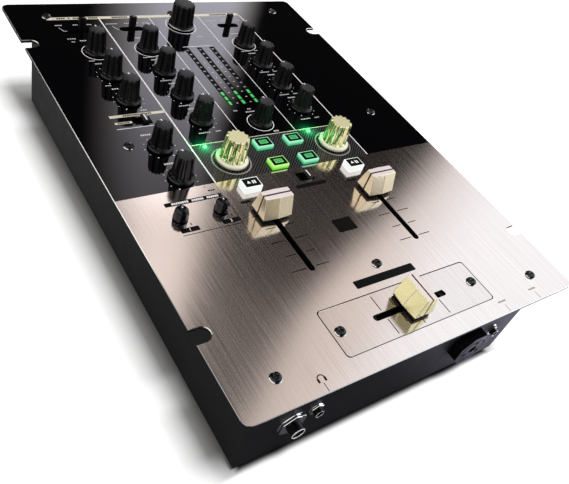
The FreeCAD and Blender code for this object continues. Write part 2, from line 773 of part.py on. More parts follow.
def make_buttons():
    """Four effect buttons and two cue buttons."""
    for number, (x, y) in enumerate(effect_buttons, 1):
        save("effect_button_%d" % number, [moved(button(effect_button_size), x, y, plate_top)])
    for number, (x, y) in enumerate(cue_buttons, 1):
        save("cue_button_%d" % number, [moved(button(cue_button_size), x, y, plate_top)])


# Levers and slide switches
def make_levers():
    """Three-way input levers on trunnions below the faceplate."""
    for channel, (x, y) in levers.items():
        paddle = rounded_block(0, 0, lever_width / 2, lever_thickness / 2, -lever_pivot_drop, lever_top, 0.8)
        hub = rod_along((0, 1, 0), (0, -lever_thickness, -lever_pivot_drop), lever_hub_radius,
                        2 * lever_thickness)
        pin_half = lever_cavity_half[1] + 1.6
        pin = rod_along((0, 1, 0), (0, -pin_half, -lever_pivot_drop), trunnion_radius, 2 * pin_half)
        save(channel + "_input_lever", [moved(join([paddle, hub, pin]), x, y, plate_top)])


def make_slide_knobs():
    """Two-way slide switch knobs, resting at their right-hand stop."""
    for name, (x, y) in slide_switch_centres.items():
        knob = rounded_block(0, 0, slide_knob_half[0], slide_knob_half[1], slide_foot, slide_knob_top, 0.6)
        save(name + "_slide_switch_knob", [moved(knob, x + slide_rest_offset, y, plate_top)])


def make_switch_bodies():
    """Housings of the push, lever, slide and power switches."""
    bodies = []
    for x, y in effect_buttons + cue_buttons:
        side = push_switch_side / 2
        bodies.append(moved(block(0, 0, side, side, board_top, push_switch_top), x, y, plate_top))
    for x, y in levers.values():
        body = block(0, 0, lever_body_half[0], lever_body_half[1], lever_body_foot, -plate_thickness)
        cavity = block(0, 0, lever_cavity_half[0], lever_cavity_half[1], lever_body_foot + 2, 1)
        pin_half = lever_cavity_half[1] + 1.9
        bore_radius = trunnion_radius + running_clearance
        bore = rod_along((0, 1, 0), (0, -pin_half, -lever_pivot_drop), bore_radius, 2 * pin_half)
        bodies.append(moved(body.cut([cavity, bore]), x, y, plate_top))
    for x, y in slide_switch_centres.values():
        body = block(0, 0, slide_slot_half[0], slide_slot_half[1], board_top, slide_body_top)
        bodies.append(moved(body, x, y, plate_top))
    bodies.append(rocker_housing())
    save("switch_bodies", bodies)


# Power rocker, drawn about its own axis along X with Y pointing out of the rear panel
rocker_axis_y = wall_inner_back - 1.2
rocker_pin_radius = 1.2
rocker_pin_half = 6.0


def rocker_housing():
    """Housing with a flange on the panel's face and a round pocket for the rocker."""
    half_width, half_height = rocker_shell_half
    shell = box(-half_width, half_width, -9.5, 2.0, -half_height, half_height)
    flange = box(-7.6, 7.6, 1.2, 2.6, -10.4, 10.4)
    pocket_half = rocker_half_width + 0.4
    pocket = rod_along((1, 0, 0), (-pocket_half, 0, 0), rocker_radius + 0.4, 2 * pocket_half)
    mouth = box(-pocket_half, pocket_half, 0, 4, -rocker_radius, rocker_radius)
    pin_half = rocker_pin_half + 0.3
    bore = rod_along((1, 0, 0), (-pin_half, 0, 0), rocker_pin_radius + running_clearance, 2 * pin_half)
    return moved(join([shell, flange]).cut([pocket, mouth, bore]), rocker_x, rocker_axis_y, rocker_z)


def make_rocker():
    """Two-way power rocker, resting in its on position."""
    outline = [(-3.0, -6.4), (4.6, -6.4), (3.2, 0.0), (4.6, 6.4), (-3.0, 6.4), (-3.0, -6.4)]
    points = [FreeCAD.Vector(-rocker_half_width, y, z) for y, z in outline]
    body = Part.Face(Part.makePolygon(points)).extrude(FreeCAD.Vector(2 * rocker_half_width, 0, 0))
    pin = rod_along((1, 0, 0), (-rocker_pin_half, 0, 0), rocker_pin_radius, 2 * rocker_pin_half)
    rocker = join([body, pin])
    rocker.rotate(FreeCAD.Vector(0, 0, 0), FreeCAD.Vector(1, 0, 0), rocker_tilt)
    save("power_rocker", [moved(rocker, rocker_x, rocker_axis_y, rocker_z)])


# Lights
def make_lights():
    """Three level meter bars and two status lights."""
    top = plate_top - 0.15
    low = plate_top + board_top
    bars = [block(x, meter_middle_y, meter_width / 2, meter_length / 2, low, top) for x in meter_x]
    save("level_meter_bars", bars)
    lights = []
    for x, y in status_leds:
        stalk = rod(0, 0, status_led_radius, board_top, 0.1)
        dome = Part.makeSphere(status_led_radius, FreeCAD.Vector(0, 0, 0.1))
        lights.append(moved(join([stalk, dome]), x, y, plate_top))
    save("status_leds", lights)


# Sockets, drawn with their mouth towards +Z and the wall's outer face at z = 0
def jack(barrel_radius, bore_radius, nose, depth, body_size, wall):
    """Phone jack: body behind the wall, threaded barrel through it."""
    half_x, length, half_y = body_size[0] / 2, body_size[1], body_size[2] / 2
    body = box(-half_x, half_x, -half_y, half_y, -wall - length, -wall)
    barrel = rod(0, 0, barrel_radius, -wall - 1, nose)
    return join([body, barrel]).cut(rod(0, 0, bore_radius, nose - depth, nose + 1))


def jack_nut(flats, barrel_radius, height):
    """Hexagonal nut on a jack's barrel, against the wall."""
    return hexagon(0, 0, flats, 0, height).cut(rod(0, 0, barrel_radius, -1, height + 1))


def make_phone_jacks():
    """Headphone jacks and aux jack in front, balanced outputs behind, with their nuts."""
    large = jack(jack_barrel_radius, jack_bore_radius, jack_nose, jack_bore_depth, jack_body, sheet)
    large_nut = jack_nut(jack_nut_flats, jack_barrel_radius, jack_nut_height)
    small = jack(mini_barrel_radius, mini_bore_radius, mini_nose, mini_bore_depth, mini_body, sheet)
    small_nut = jack_nut(mini_nut_flats, mini_barrel_radius, 1.6)
    group = []
    for shape in (large, large_nut):
        group.append(moved(aimed_along_y(shape, -1), headphone_jack_x, case_front, headphone_z))
        for x, z in balanced_places():
            group.append(moved(aimed_along_y(shape, 1), x, wall_inner_back, z))
    for shape in (small, small_nut):
        for x, z in mini_jacks:
            group.append(moved(aimed_along_y(shape, -1), x, case_front, z))
    save("phone_jacks", group)


def make_mic_socket():
    """Round socket in an eight-sided flange, with three pin holes and a middle bore."""
    half = mic_flange_half
    flange = block(0, 0, half, half, 0, mic_nose)
    upright = [edge for edge in flange.Edges if abs(edge.tangentAt(edge.FirstParameter).z) > 0.99]
    flange = flange.makeChamfer(mic_flange_chamfer, upright)
    body = rod(0, 0, mic_body_radius, -mic_body_depth, mic_nose - 1)
    groove_width = 0.8
    ring = rod(0, 0, mic_ring_radius, mic_nose - 1.2, mic_nose + 1)
    ring = ring.cut(rod(0, 0, mic_ring_radius - groove_width, mic_nose - 2, mic_nose + 2))
    cuts = [ring, rod(0, 0, jack_bore_radius, mic_nose - mic_body_depth, mic_nose + 1)]
    for degrees in (90.0, 210.0, 330.0):
        x = mic_pin_circle * math.cos(math.radians(degrees))
        y = mic_pin_circle * math.sin(math.radians(degrees))
        cuts.append(rod(x, y, mic_pin_hole_radius, mic_nose - 10, mic_nose + 1))
    socket = join([flange, body]).cut(cuts)
    save("mic_socket", [moved(aimed_along_y(socket, -1), mic_socket_x, case_front, mic_z)])


def make_rear_sockets():
    """Phono sockets, data socket, ground post and power inlet on the rear panel."""
    body = box(-5.5, 5.5, -5.5, 5.5, -sheet - 10, -sheet)
    collar = rod(0, 0, rca_barrel_radius, -sheet - 1, rca_nose)
    phono = join([body, collar]).cut(rod(0, 0, rca_hole_radius, rca_nose - 10, rca_nose + 1))
    save("rca_sockets", [moved(aimed_along_y(phono, 1), x, wall_inner_back, z) for x, z in rca_places()])

    shell = block(0, 0, usb_half[0], usb_half[1], -15.0, 1.6).cut(box(-4.3, 4.3, -4.0, 4.0, -9.0, 3.0))
    tongue = box(-2.8, 2.8, -1.6, 1.6, -9.5, 0.4)
    usb = aimed_along_y(join([shell, tongue]), 1)
    save("usb_socket", [moved(usb, usb_x, wall_inner_back, usb_z)])

    stud = rod(0, 0, ground_stud_radius, -6.0, 10.0)
    grip = turned([(0, 2.0), (4.2, 2.0), (4.6, 2.5), (4.6, 7.5), (4.2, 8.0), (0, 8.0)])
    washer = rod(0, 0, 5.0, 0, 1.2)
    ground = aimed_along_y(join([stud, grip, washer]), 1)
    save("ground_terminal", [moved(ground, ground_x, wall_inner_back, ground_z)])

    inlet = block(0, 0, inlet_half[0], inlet_half[1], -13.0, 2.4).cut(rod(0, 0, inlet_bore_radius, -8.0, 4.0))
    inlet = join([inlet, rod(0, 0, 1.05, -8.5, 1.6)])
    save("power_inlet", [moved(aimed_along_y(inlet, 1), inlet_x, wall_inner_back, inlet_z)])


os.makedirs("parts", exist_ok=True)
make_faceplate()
make_crossfader_plate()
make_case_body()
make_front_panel()
make_bottom_cover()
make_rear_panel()
make_feet()
make_screws()
make_boards()
make_potentiometers()
make_knobs()
make_faders()
make_buttons()
make_levers()
make_slide_knobs()
make_switch_bodies()
make_rocker()
make_lights()
make_phone_jacks()
make_mic_socket()
make_rear_sockets()
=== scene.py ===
"""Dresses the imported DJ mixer: finishes, printed marks, controls, sockets and the studio around it."""
import math

import bmesh
import bpy
from bpy.props import FloatProperty, FloatVectorProperty, IntProperty, PointerProperty
from mathutils import Matrix, Vector


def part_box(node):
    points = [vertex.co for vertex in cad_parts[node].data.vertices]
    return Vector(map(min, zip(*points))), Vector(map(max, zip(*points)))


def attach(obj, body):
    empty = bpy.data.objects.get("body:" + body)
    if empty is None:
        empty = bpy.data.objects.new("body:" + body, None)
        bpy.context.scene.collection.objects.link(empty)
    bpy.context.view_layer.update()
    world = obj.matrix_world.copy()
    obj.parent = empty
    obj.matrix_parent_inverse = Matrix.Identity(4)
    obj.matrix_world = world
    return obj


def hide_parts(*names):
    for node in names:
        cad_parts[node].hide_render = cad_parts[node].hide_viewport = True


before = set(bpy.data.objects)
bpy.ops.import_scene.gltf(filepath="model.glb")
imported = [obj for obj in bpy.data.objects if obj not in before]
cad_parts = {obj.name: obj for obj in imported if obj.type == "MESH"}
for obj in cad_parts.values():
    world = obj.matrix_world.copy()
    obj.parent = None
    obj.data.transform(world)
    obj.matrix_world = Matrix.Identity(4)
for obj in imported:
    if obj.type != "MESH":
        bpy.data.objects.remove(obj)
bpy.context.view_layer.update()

bl_info = {
    "name": "DJ Mixer Dresser",
    "version": (1, 0, 0),
    "blender": (4, 5, 0),
    "location": "View3D > Sidebar > Mixer",
    "description": "Builds the visible pieces and finishes of a two-channel DJ mixer on its packed frame",
    "category": "Object",
}

MM = 0.001
PLATE_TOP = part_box("faceplate")[1][2] / MM
CASE_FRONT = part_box("front_panel")[0][1] / MM
PANEL_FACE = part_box("rear_panel")[1][1] / MM

# Zones of the faceplate, in millimetres
FINISH_LINE_Y = -31.8
EFFECT_ZONE_X = 62.4
EFFECT_ZONE_TOP_Y = 3.9
INNER_DIVIDER_X = 21.8
DIVIDER_TOP_Y = 158.6
RIM_X = 116.5
RIM_Y = 176.0
FADER_X = 42.0
FADER_SLOT_Y = (-114.0, -60.0)
CROSSFADER_Y = -153.9
SLOT_REACH = 2.4
CROSS_SLOT_X = 29.0
CROSS_RIM = (56.5, 14.0)
STATUS_LIGHTS = ((-53.0, 0.8), (31.0, 0.8))
EFFECT_KNOBS = ("channel_1_effect_knob", "channel_2_effect_knob")

# How far printed marks reach into the surface under them, and half the thickness of figures
PRINT_SINK = 0.02
FIGURE_HALF = 0.015

# Rows of the channel strips: knob labels above each knob, and range labels below it
NAME_ROWS = (130.5, 101.0, 70.8, 40.6)
RANGE_ROWS = (104.6, 74.8, 44.8, 14.6)

# Limits that colours share
RGB = {"size": 3, "min": 0, "max": 1}


def middle(node):
    """Centre of a CAD node's box, in millimetres."""
    low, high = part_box(node)
    return [(a + b) / 2 / MM for a, b in zip(low, high)]


def above(node):
    """Place on the faceplate's top over the middle of a CAD node, in millimetres."""
    x, y, _ = middle(node)
    return x, y, PLATE_TOP


def dials():
    """Names of the turning knobs."""
    return [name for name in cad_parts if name.endswith("_knob") and "slide" not in name]


class MixerFinish(bpy.types.PropertyGroup):
    """Colours of the mixer's finishes."""
    gloss_black: FloatVectorProperty(name="Gloss black", description="Rear part of the faceplate",
                                     subtype="COLOR", default=(0.0006, 0.0005, 0.001), **RGB)
    brushed_metal: FloatVectorProperty(name="Brushed metal", description="Front part of the faceplate",
                                       subtype="COLOR", default=(0.76, 0.675, 0.655), **RGB)
    bare_edge: FloatVectorProperty(name="Bare edge", description="Cut edges of the plates",
                                   subtype="COLOR", default=(0.93, 0.92, 0.9), **RGB)
    case_paint: FloatVectorProperty(name="Case paint", description="Powder coat of the case",
                                    subtype="COLOR", default=(0.0105, 0.0105, 0.0118), **RGB)
    knob_plastic: FloatVectorProperty(name="Knob plastic", description="Black knobs and slide switches",
                                      subtype="COLOR", default=(0.0032, 0.0032, 0.0036), **RGB)
    champagne: FloatVectorProperty(name="Champagne metal", description="Effect knobs",
                                   subtype="COLOR", default=(0.93, 0.87, 0.52), **RGB)
    cap_paint: FloatVectorProperty(name="Cap paint", description="Metal paint of the channel fader caps",
                                   subtype="COLOR", default=(0.9, 0.79, 0.56), **RGB)
    mint: FloatVectorProperty(name="Mint light", description="Lit effect buttons",
                              subtype="COLOR", default=(0.42, 0.95, 0.66), **RGB)
    lime: FloatVectorProperty(name="Lime light", description="The switched-on effect button",
                              subtype="COLOR", default=(0.62, 1.0, 0.28), **RGB)
    led_green: FloatVectorProperty(name="Green light", description="Lit meter segments",
                                   subtype="COLOR", default=(0.06, 0.8, 0.14), **RGB)
    print_white: FloatVectorProperty(name="White print", description="Lines and marks on the black part",
                                     subtype="COLOR", default=(0.78, 0.74, 0.76), **RGB)


class MixerSizes(bpy.types.PropertyGroup):
    """Sizes of the details that the visible pieces add."""
    rim_round: FloatProperty(name="Rim round", description="Rounding of the faceplate's outer edge",
                             unit="LENGTH", default=0.34 * MM)
    slot_round: FloatProperty(name="Slot round", description="Rounding of the fader slots' edges",
                              unit="LENGTH", default=0.16 * MM)
    print_height: FloatProperty(name="Print height", description="Thickness of the printed marks",
                                unit="LENGTH", default=0.04 * MM)
    dot_pitch: FloatProperty(name="Dot pitch", description="Pitch of the effect field's dot net",
                             unit="LENGTH", default=2.3 * MM)
    knob_flutes: IntProperty(name="Knob flutes", description="Grooves round a black knob", default=12)
    large_flutes: IntProperty(name="Master flutes", description="Grooves round the master knob", default=14)
    effect_flutes: IntProperty(name="Effect flutes", description="Grooves round an effect knob", default=12)
    meter_segments: IntProperty(name="Meter segments", description="Lights in each meter", default=13)
    lit_segments: IntProperty(name="Lit segments", description="Lights that are on in each meter", default=3)


class MixerStage(bpy.types.PropertyGroup):
    """Camera, floor and studio lights."""
    camera_place: FloatVectorProperty(name="Camera place", description="Where the camera stands",
                                      unit="LENGTH", size=3, default=(-0.246776, -0.271084, 0.328291))
    lens: FloatProperty(name="Lens", description="Focal length", unit="CAMERA", default=40.262)
    top_light: FloatProperty(name="Top light", description="Power of the light above", unit="POWER",
                             default=84.0)
    top_width: FloatProperty(name="Top light width", description="Width of the light above",
                             unit="LENGTH", default=0.8)
    top_depth: FloatProperty(name="Top light depth", description="Depth of the light above",
                             unit="LENGTH", default=0.8)
    front_light: FloatProperty(name="Front light", description="Power of the cool light low in front",
                               unit="POWER", default=0.06)
    strip_light: FloatProperty(name="Strip light", description="Radiance of the tall strip behind",
                               default=3.4)
    wall_light: FloatProperty(name="White wall", description="Radiance of the white wall on the right",
                              default=1.32)
    left_light: FloatProperty(name="Left light", description="Radiance of the white wall on the left",
                              default=1.22)
    dark_room: FloatProperty(name="Dark room", description="Radiance of the rest of the room", default=0.02)


# Node helpers

def feed(tree, target, value):
    """Link a socket into a socket, or set a plain value on it."""
    if isinstance(value, bpy.types.NodeSocket):
        tree.links.new(value, target)
    else:
        target.default_value = value


def add_node(tree, kind, inputs=None, **values):
    """New node with its settings and inputs."""
    item = tree.nodes.new(kind)
    for name, value in values.items():
        setattr(item, name, value)
    for name, value in (inputs or {}).items():
        feed(tree, item.inputs[name], value)
    return item


def calc(tree, operation, *values):
    """Math nodes of one kind in a row, over sockets and numbers."""
    result = values[0]
    for value in values[1:] or (0.0,):
        result = add_node(tree, "ShaderNodeMath", {0: result, 1: value}, operation=operation).outputs[0]
    return result


def ramp(tree, value, start, end, low=0.0, high=1.0):
    """Smooth step of a value from low at start to high at end."""
    inputs = {"Value": value, "From Min": start, "From Max": end, "To Min": low, "To Max": high}
    return add_node(tree, "ShaderNodeMapRange", inputs, interpolation_type="SMOOTHSTEP").outputs["Result"]


def band(tree, value, rise_start, rise_end, fall_start, fall_end):
    """Soft-edged band: 0, up to 1, and back to 0."""
    return calc(tree, "MULTIPLY", ramp(tree, value, rise_start, rise_end),
                ramp(tree, value, fall_start, fall_end, 1.0, 0.0))


def beside(tree, value, near, far, low=0.0):
    """Low within a near distance of 0 on either side, and 1 beyond a far one."""
    return calc(tree, "MAXIMUM", ramp(tree, value, -far, -near, 1.0, low),
                ramp(tree, value, near, far, low, 1.0))


def opaque(colour):
    """Socket as it is, or a colour with its alpha."""
    return colour if isinstance(colour, bpy.types.NodeSocket) else (*colour, 1.0)


def blend_colour(tree, factor, first, second):
    """Mix of two colours."""
    inputs = {"Factor": factor, "A": opaque(first), "B": opaque(second)}
    return add_node(tree, "ShaderNodeMix", inputs, data_type="RGBA").outputs["Result"]


def tinted(tree, value, colour):
    """Colour scaled by a value."""
    inputs = {"Factor": 1.0, "A": value, "B": opaque(colour)}
    return add_node(tree, "ShaderNodeMix", inputs, data_type="RGBA", blend_type="MULTIPLY").outputs["Result"]


def bump(tree, height, strength, distance):
    """Normal from a height."""
    inputs = {"Strength": strength, "Distance": distance, "Height": height}
    return add_node(tree, "ShaderNodeBump", inputs).outputs["Normal"]


def place_of(tree, space="Object"):
    """Coordinates of a surface on its object, or of a view into the room."""
    return add_node(tree, "ShaderNodeTexCoord").outputs[space]


def separated(tree, space="Object"):
    """X, Y and Z of the coordinates."""
    return add_node(tree, "ShaderNodeSeparateXYZ", {0: place_of(tree, space)}).outputs


def shade(colour, factor):
    """Colour made lighter or darker."""
    return tuple(min(1.0, part * factor) for part in colour)


def new_group(name, inputs, outputs):
    """Shader node group and the sockets inside it; those called Colour are colours."""
    tree = bpy.data.node_groups.new(name, "ShaderNodeTree")
    kinds = {"Colour": "NodeSocketColor"}
    for label, default in inputs.items():
        kind = kinds.get(label, "NodeSocketFloat")
        tree.interface.new_socket(label, in_out="INPUT", socket_type=kind).default_value = default
    for label in outputs:
        kind = kinds.get(label, "NodeSocketFloat")
        tree.interface.new_socket(label, in_out="OUTPUT", socket_type=kind)
    return tree, tree.nodes.new("NodeGroupInput").outputs, tree.nodes.new("NodeGroupOutput").inputs


def noise(tree, place, scale, detail):
    """Value of a noise texture."""
    inputs = {"Vector": place, "Scale": scale, "Detail": detail}
    return add_node(tree, "ShaderNodeTexNoise", inputs).outputs[0]


def end_grain(tree, source, sink, height, mixed, spread, swing):
    """Height, roughness and varied colour that a grain puts out."""
    feed(tree, sink["Height"], height)
    feed(tree, sink["Roughness"],
         ramp(tree, mixed, 0.5 - spread, 0.5 + spread, source["Low"], source["High"]))
    change = calc(tree, "MULTIPLY", calc(tree, "SUBTRACT", mixed, 0.5), source[swing])
    inputs = {"Color": source["Colour"], "Value": calc(tree, "ADD", 1.0, change)}
    feed(tree, sink["Colour"], add_node(tree, "ShaderNodeHueSaturation", inputs).outputs["Color"])
    return tree


def grain_group():
    """Fine moulded or powder-coat grain: a roughness, a height and a tint that vary over the surface."""
    tree, source, sink = new_group(
        "moulded_grain",
        {"Colour": (0.5, 0.5, 0.5, 1), "Scale": 2000.0, "Low": 0.3, "High": 0.4, "Tint": 0.4},
        ("Colour", "Roughness", "Height"))
    place = place_of(tree)
    fine = noise(tree, place, source["Scale"], 3.0)
    broad = noise(tree, place, 90.0, 4.0)
    mixed = calc(tree, "ADD", calc(tree, "MULTIPLY", fine, 0.45), calc(tree, "MULTIPLY", broad, 0.55))
    return end_grain(tree, source, sink, fine, mixed, 0.2, "Tint")


def brush_group():
    """Long fine scratches of brushed metal along Y."""
    tree, source, sink = new_group(
        "brushed_grain", {"Colour": (0.7, 0.7, 0.7, 1), "Contrast": 1.0, "Low": 0.12, "High": 0.2},
        ("Colour", "Roughness", "Height"))
    place = place_of(tree)
    layers = []
    for across, along in ((4000.0, 26.0), (1900.0, 10.0)):
        inputs = {"Vector": place, "Scale": (across, along, 1.0)}
        stretch = add_node(tree, "ShaderNodeMapping", inputs).outputs[0]
        layers.append(calc(tree, "MULTIPLY", noise(tree, stretch, 1.0, 1.0), 0.5))
    mixed = calc(tree, "ADD", *layers)
    return end_grain(tree, source, sink, mixed, mixed, 0.15, "Contrast")


def halo_group():
    """Green light that the two status lights throw on the surface round them."""
    tree, source, sink = new_group(
        "status_halo", {"Colour": (0.02, 1.0, 0.35, 1), "Reach": 0.0023}, ("Colour",))
    place = place_of(tree)
    light = 0.0
    for x, y in STATUS_LIGHTS:
        inputs = {0: place, 1: (x * MM, y * MM, PLATE_TOP * MM)}
        gap = add_node(tree, "ShaderNodeVectorMath", inputs, operation="DISTANCE").outputs["Value"]
        fade = calc(tree, "DIVIDE", gap, calc(tree, "MULTIPLY", source["Reach"], -1.0))
        light = calc(tree, "ADD", light, calc(tree, "EXPONENT", fade))
    feed(tree, sink["Colour"], tinted(tree, light, source["Colour"]))
    return tree


GROUP_MAKERS = {"moulded_grain": grain_group, "brushed_grain": brush_group, "status_halo": halo_group}


def place_group(tree, name, **inputs):
    """Put a shared group into a material with its own values."""
    shared = bpy.data.node_groups.get(name) or GROUP_MAKERS[name]()
    return add_node(tree, "ShaderNodeGroup", inputs, node_tree=shared).outputs


def new_material(name, **constants):
    """Material with a Principled shader and its constants, its tree, and the shader's inputs."""
    material = bpy.data.materials.new(name)
    material.use_nodes = True
    tree = material.node_tree
    shader = tree.nodes["Principled BSDF"].inputs
    for label, value in constants.items():
        shader[label.replace("_", " ")].default_value = value
    return material, tree, shader


def wear(tree, shader, grain, relief=None, depth=0.0):
    """Feed a grain's colour and roughness to a shader, and its relief where it has one."""
    feed(tree, shader["Base Color"], grain["Colour"])
    feed(tree, shader["Roughness"], grain["Roughness"])
    if relief is not None:
        feed(tree, shader["Normal"], bump(tree, grain["Height"], relief, depth * MM))


def grained(name, colour, scale, low, high, tone=1.0, tint=0.4, relief=0.15, depth=0.02, halo=None,
            **constants):
    """Plastic, paint or metal with a fine grain; halo is the strength, reach and hue of the status lights."""
    _, tree, shader = new_material(name, **constants)
    grain = place_group(tree, "moulded_grain", Colour=opaque(shade(colour, tone)), Scale=scale, Low=low,
                        High=high, Tint=tint)
    wear(tree, shader, grain, relief, depth)
    if halo:
        strength, reach, hue = halo
        glow = place_group(tree, "status_halo", Reach=reach * MM, Colour=opaque(hue))
        feed(tree, shader["Emission Color"], glow["Colour"])
        shader["Emission Strength"].default_value = strength


def brushed(name, colour):
    """Brushed metal with its grain along Y; the mesh's UV map gives the spread of its shine."""
    material, tree, shader = new_material(name, Metallic=1.0, Anisotropic=0.6)
    grain = place_group(tree, "brushed_grain", Colour=opaque(colour), Contrast=0.62, Low=0.11, High=0.16)
    wear(tree, shader, grain, 0.22, 0.006)
    direction = add_node(tree, "ShaderNodeTangent", direction_type="UV_MAP", uv_map="across_grain")
    feed(tree, shader["Tangent"], direction.outputs[0])
    return material


def glowing(name, bright, rim, strength, low, high):
    """Lit plastic that goes from one colour at a low height to another at a high one."""
    material, tree, shader = new_material(name, Emission_Strength=strength)
    dim = opaque(shade(bright, 0.3))
    wear(tree, shader, place_group(tree, "moulded_grain", Colour=dim, Scale=900.0, Low=0.18, High=0.3))
    rise = ramp(tree, separated(tree)["Z"], low * MM, high * MM)
    feed(tree, shader["Emission Color"], blend_colour(tree, rise, bright, rim))
    return material


# Grained finishes: colour or colour setting, grain scale, least and greatest roughness, and what differs from
# the usual tint, relief and shader values
PRINT = dict(relief=0.05)
CAP = dict(tint=0.1, relief=0.0)
GRAINED = {
    "knob_plastic": ("knob_plastic", 2600.0, 0.2, 0.28, dict(relief=0.04, Specular_IOR_Level=0.4)),
    # Black knob tops: rougher, and 4.5 times lighter in colour as painted light falling on the top
    "knob_top_plastic": ("knob_plastic", 2600.0, 0.45, 0.58,
                         dict(tone=4.5, relief=0.2, Specular_IOR_Level=0.4)),
    "white_print": ("print_white", 1500.0, 0.45, 0.6, PRINT),
    "dim_print": ((0.5, 0.47, 0.47), 1500.0, 0.45, 0.6, PRINT),
    "grey_print": ((0.24, 0.225, 0.205), 1500.0, 0.45, 0.6, PRINT),
    "black_print": ((0.003, 0.0028, 0.0028), 1500.0, 0.3, 0.42, dict(relief=0.05, Specular_IOR_Level=0.06)),
    # Dark plastic of real parts; on plate walls, in gaps and under the fader caps it is painted shade
    "dark_plastic": ((0.005, 0.005, 0.0055), 1800.0, 0.4, 0.55, dict(Specular_IOR_Level=0.3)),
    "gloss_plastic": ((0.004, 0.004, 0.005), 1200.0, 0.06, 0.12, dict(relief=0.03, Specular_IOR_Level=0.32)),
    "socket_black": ((0.004, 0.004, 0.005), 1200.0, 0.2, 0.3, dict(relief=0.04, Specular_IOR_Level=0.06)),
    "rocker_plastic": ((0.02, 0.02, 0.022), 1500.0, 0.22, 0.34, {}),
    "bright_chrome": ((0.82, 0.82, 0.84), 1200.0, 0.07, 0.14, dict(tint=0.2, relief=0.03, Metallic=1.0)),
    "plated_ring": ((0.9, 0.9, 0.92), 1200.0, 0.3, 0.4, dict(tint=0.2, relief=0.03, Metallic=0.4)),
    "blackened_steel": ((0.003, 0.003, 0.0035), 1500.0, 0.1, 0.16, dict(relief=0.05, Specular_IOR_Level=0.5)),
    "bare_edge_metal": ("bare_edge", 1600.0, 0.2, 0.32, dict(tint=0.2, relief=0.08, Metallic=1.0)),
    "gloss_black": ("gloss_black", 500.0, 0.03, 0.05,
                    dict(relief=0.02, halo=(1.0, 2.3, (0.02, 1.0, 0.35)), Specular_IOR_Level=0.42,
                         Specular_Tint=(0.9, 0.88, 1.0, 1.0))),
    "champagne_foil": ((0.66, 0.6, 0.47), 900.0, 0.4, 0.55, dict(Metallic=0.15)),
    "champagne_metal": ("champagne", 300.0, 0.04, 0.08,
                        dict(CAP, halo=(1.1, 8.5, (0.1, 1.0, 0.08)), Metallic=1.0)),
    "champagne_satin": ("champagne", 1500.0, 0.4, 0.5, dict(tone=0.72, tint=0.2, relief=0.1, Metallic=0.3)),
    # Effect knob flange: partly its own paler colour, partly painted sheen, less metallic than the champagne
    "cream_flange": ((0.8, 0.77, 0.62), 1500.0, 0.3, 0.4, dict(tint=0.2, relief=0.05, Metallic=0.2)),
    "cap_metal_paint": ("cap_paint", 400.0, 0.2, 0.28, dict(CAP, Metallic=0.7)),
    "cap_yellow_paint": ((0.95, 0.91, 0.5), 400.0, 0.2, 0.28, dict(CAP, Metallic=0.7)),
    # Fader cap tops: a paler, less metallic copy of the cap paint, as painted light on the top
    "cap_pale_paint": ((0.72, 0.63, 0.62), 400.0, 0.3, 0.4, CAP),
    "cap_line_paint": ((0.9, 0.83, 0.64), 400.0, 0.3, 0.4, CAP),
    "case_powder_coat": ("case_paint", 1400.0, 0.46, 0.58,
                         dict(relief=0.3, depth=0.04, Specular_IOR_Level=0.3)),
    "foot_rubber": ((0.012, 0.012, 0.012), 1100.0, 0.75, 0.9, dict(relief=0.4, depth=0.05)),
    "satin_silver": ((0.62, 0.6, 0.6), 1400.0, 0.22, 0.32, dict(relief=0.05, Metallic=1.0)),
    "meter_bed": ((0.002, 0.002, 0.0024), 900.0, 0.5, 0.65, dict(Specular_IOR_Level=0.05)),
    "meter_off": ((0.2, 0.195, 0.205), 1300.0, 0.2, 0.3, {}),
    "socket_grey_metal": ((0.3, 0.3, 0.31), 1200.0, 0.25, 0.35, dict(Metallic=0.8)),
    "gold_plate": ((0.83, 0.62, 0.25), 900.0, 0.16, 0.26, dict(tint=0.2, relief=0.04, Metallic=1.0)),
    "red_insulator": ((0.42, 0.012, 0.012), 1200.0, 0.3, 0.42, {}),
    "white_insulator": ((0.72, 0.71, 0.69), 1200.0, 0.3, 0.42, {}),
    "tongue_plastic": ((0.55, 0.54, 0.52), 1200.0, 0.35, 0.45, {}),
    "board_lacquer": ((0.004, 0.022, 0.01), 700.0, 0.28, 0.4, dict(tint=0.6)),
    "zinc_steel": ((0.6, 0.6, 0.58), 800.0, 0.3, 0.45, dict(Metallic=1.0)),
}


def finish(item):
    """Material as it is, or the grained finish of a name, made when it is first asked for."""
    if not isinstance(item, str):
        return item
    if item not in bpy.data.materials:
        colour, scale, low, high, settings = GRAINED[item]
        if isinstance(colour, str):
            colour = tuple(getattr(bpy.context.scene.mixer_finish, colour))
        grained(item, colour, scale, low, high, **settings)
    return bpy.data.materials[item]


# Mesh helpers

def lathe(profile, steps):
    """Turned solid about Z from (radius, height) pairs in millimetres."""
    bm = bmesh.new()
    verts = [bm.verts.new((radius * MM, 0.0, height * MM)) for radius, height in profile]
    edges = [bm.edges.new(pair) for pair in zip(verts, verts[1:])]
    bmesh.ops.spin(bm, geom=verts + edges, cent=(0, 0, 0), axis=(0, 0, 1), dvec=(0, 0, 0),
                   angle=2 * math.pi, steps=steps, use_merge=True, use_duplicate=False)
    bmesh.ops.remove_doubles(bm, verts=bm.verts, dist=1e-7)
    bmesh.ops.dissolve_degenerate(bm, dist=1e-8, edges=bm.edges)
    bmesh.ops.recalc_face_normals(bm, faces=bm.faces)
    return bm


def gather(target, part, x=0.0, y=0.0, z=0.0):
    """Move a bmesh by millimetres, add it to another and free it."""
    shift(part, x, y, z)
    mesh = bpy.data.meshes.new("part")
    part.to_mesh(mesh)
    part.free()
    target.from_mesh(mesh)
    bpy.data.meshes.remove(mesh)


def bevel(bm, edges, width, segments=2):
    """Round some edges by a width in millimetres; returns the new faces."""
    return bmesh.ops.bevel(bm, geom=edges, offset=width * MM, offset_type="OFFSET", segments=segments,
                           profile=0.5, affect="EDGES", clamp_overlap=True, material=-1)["faces"]


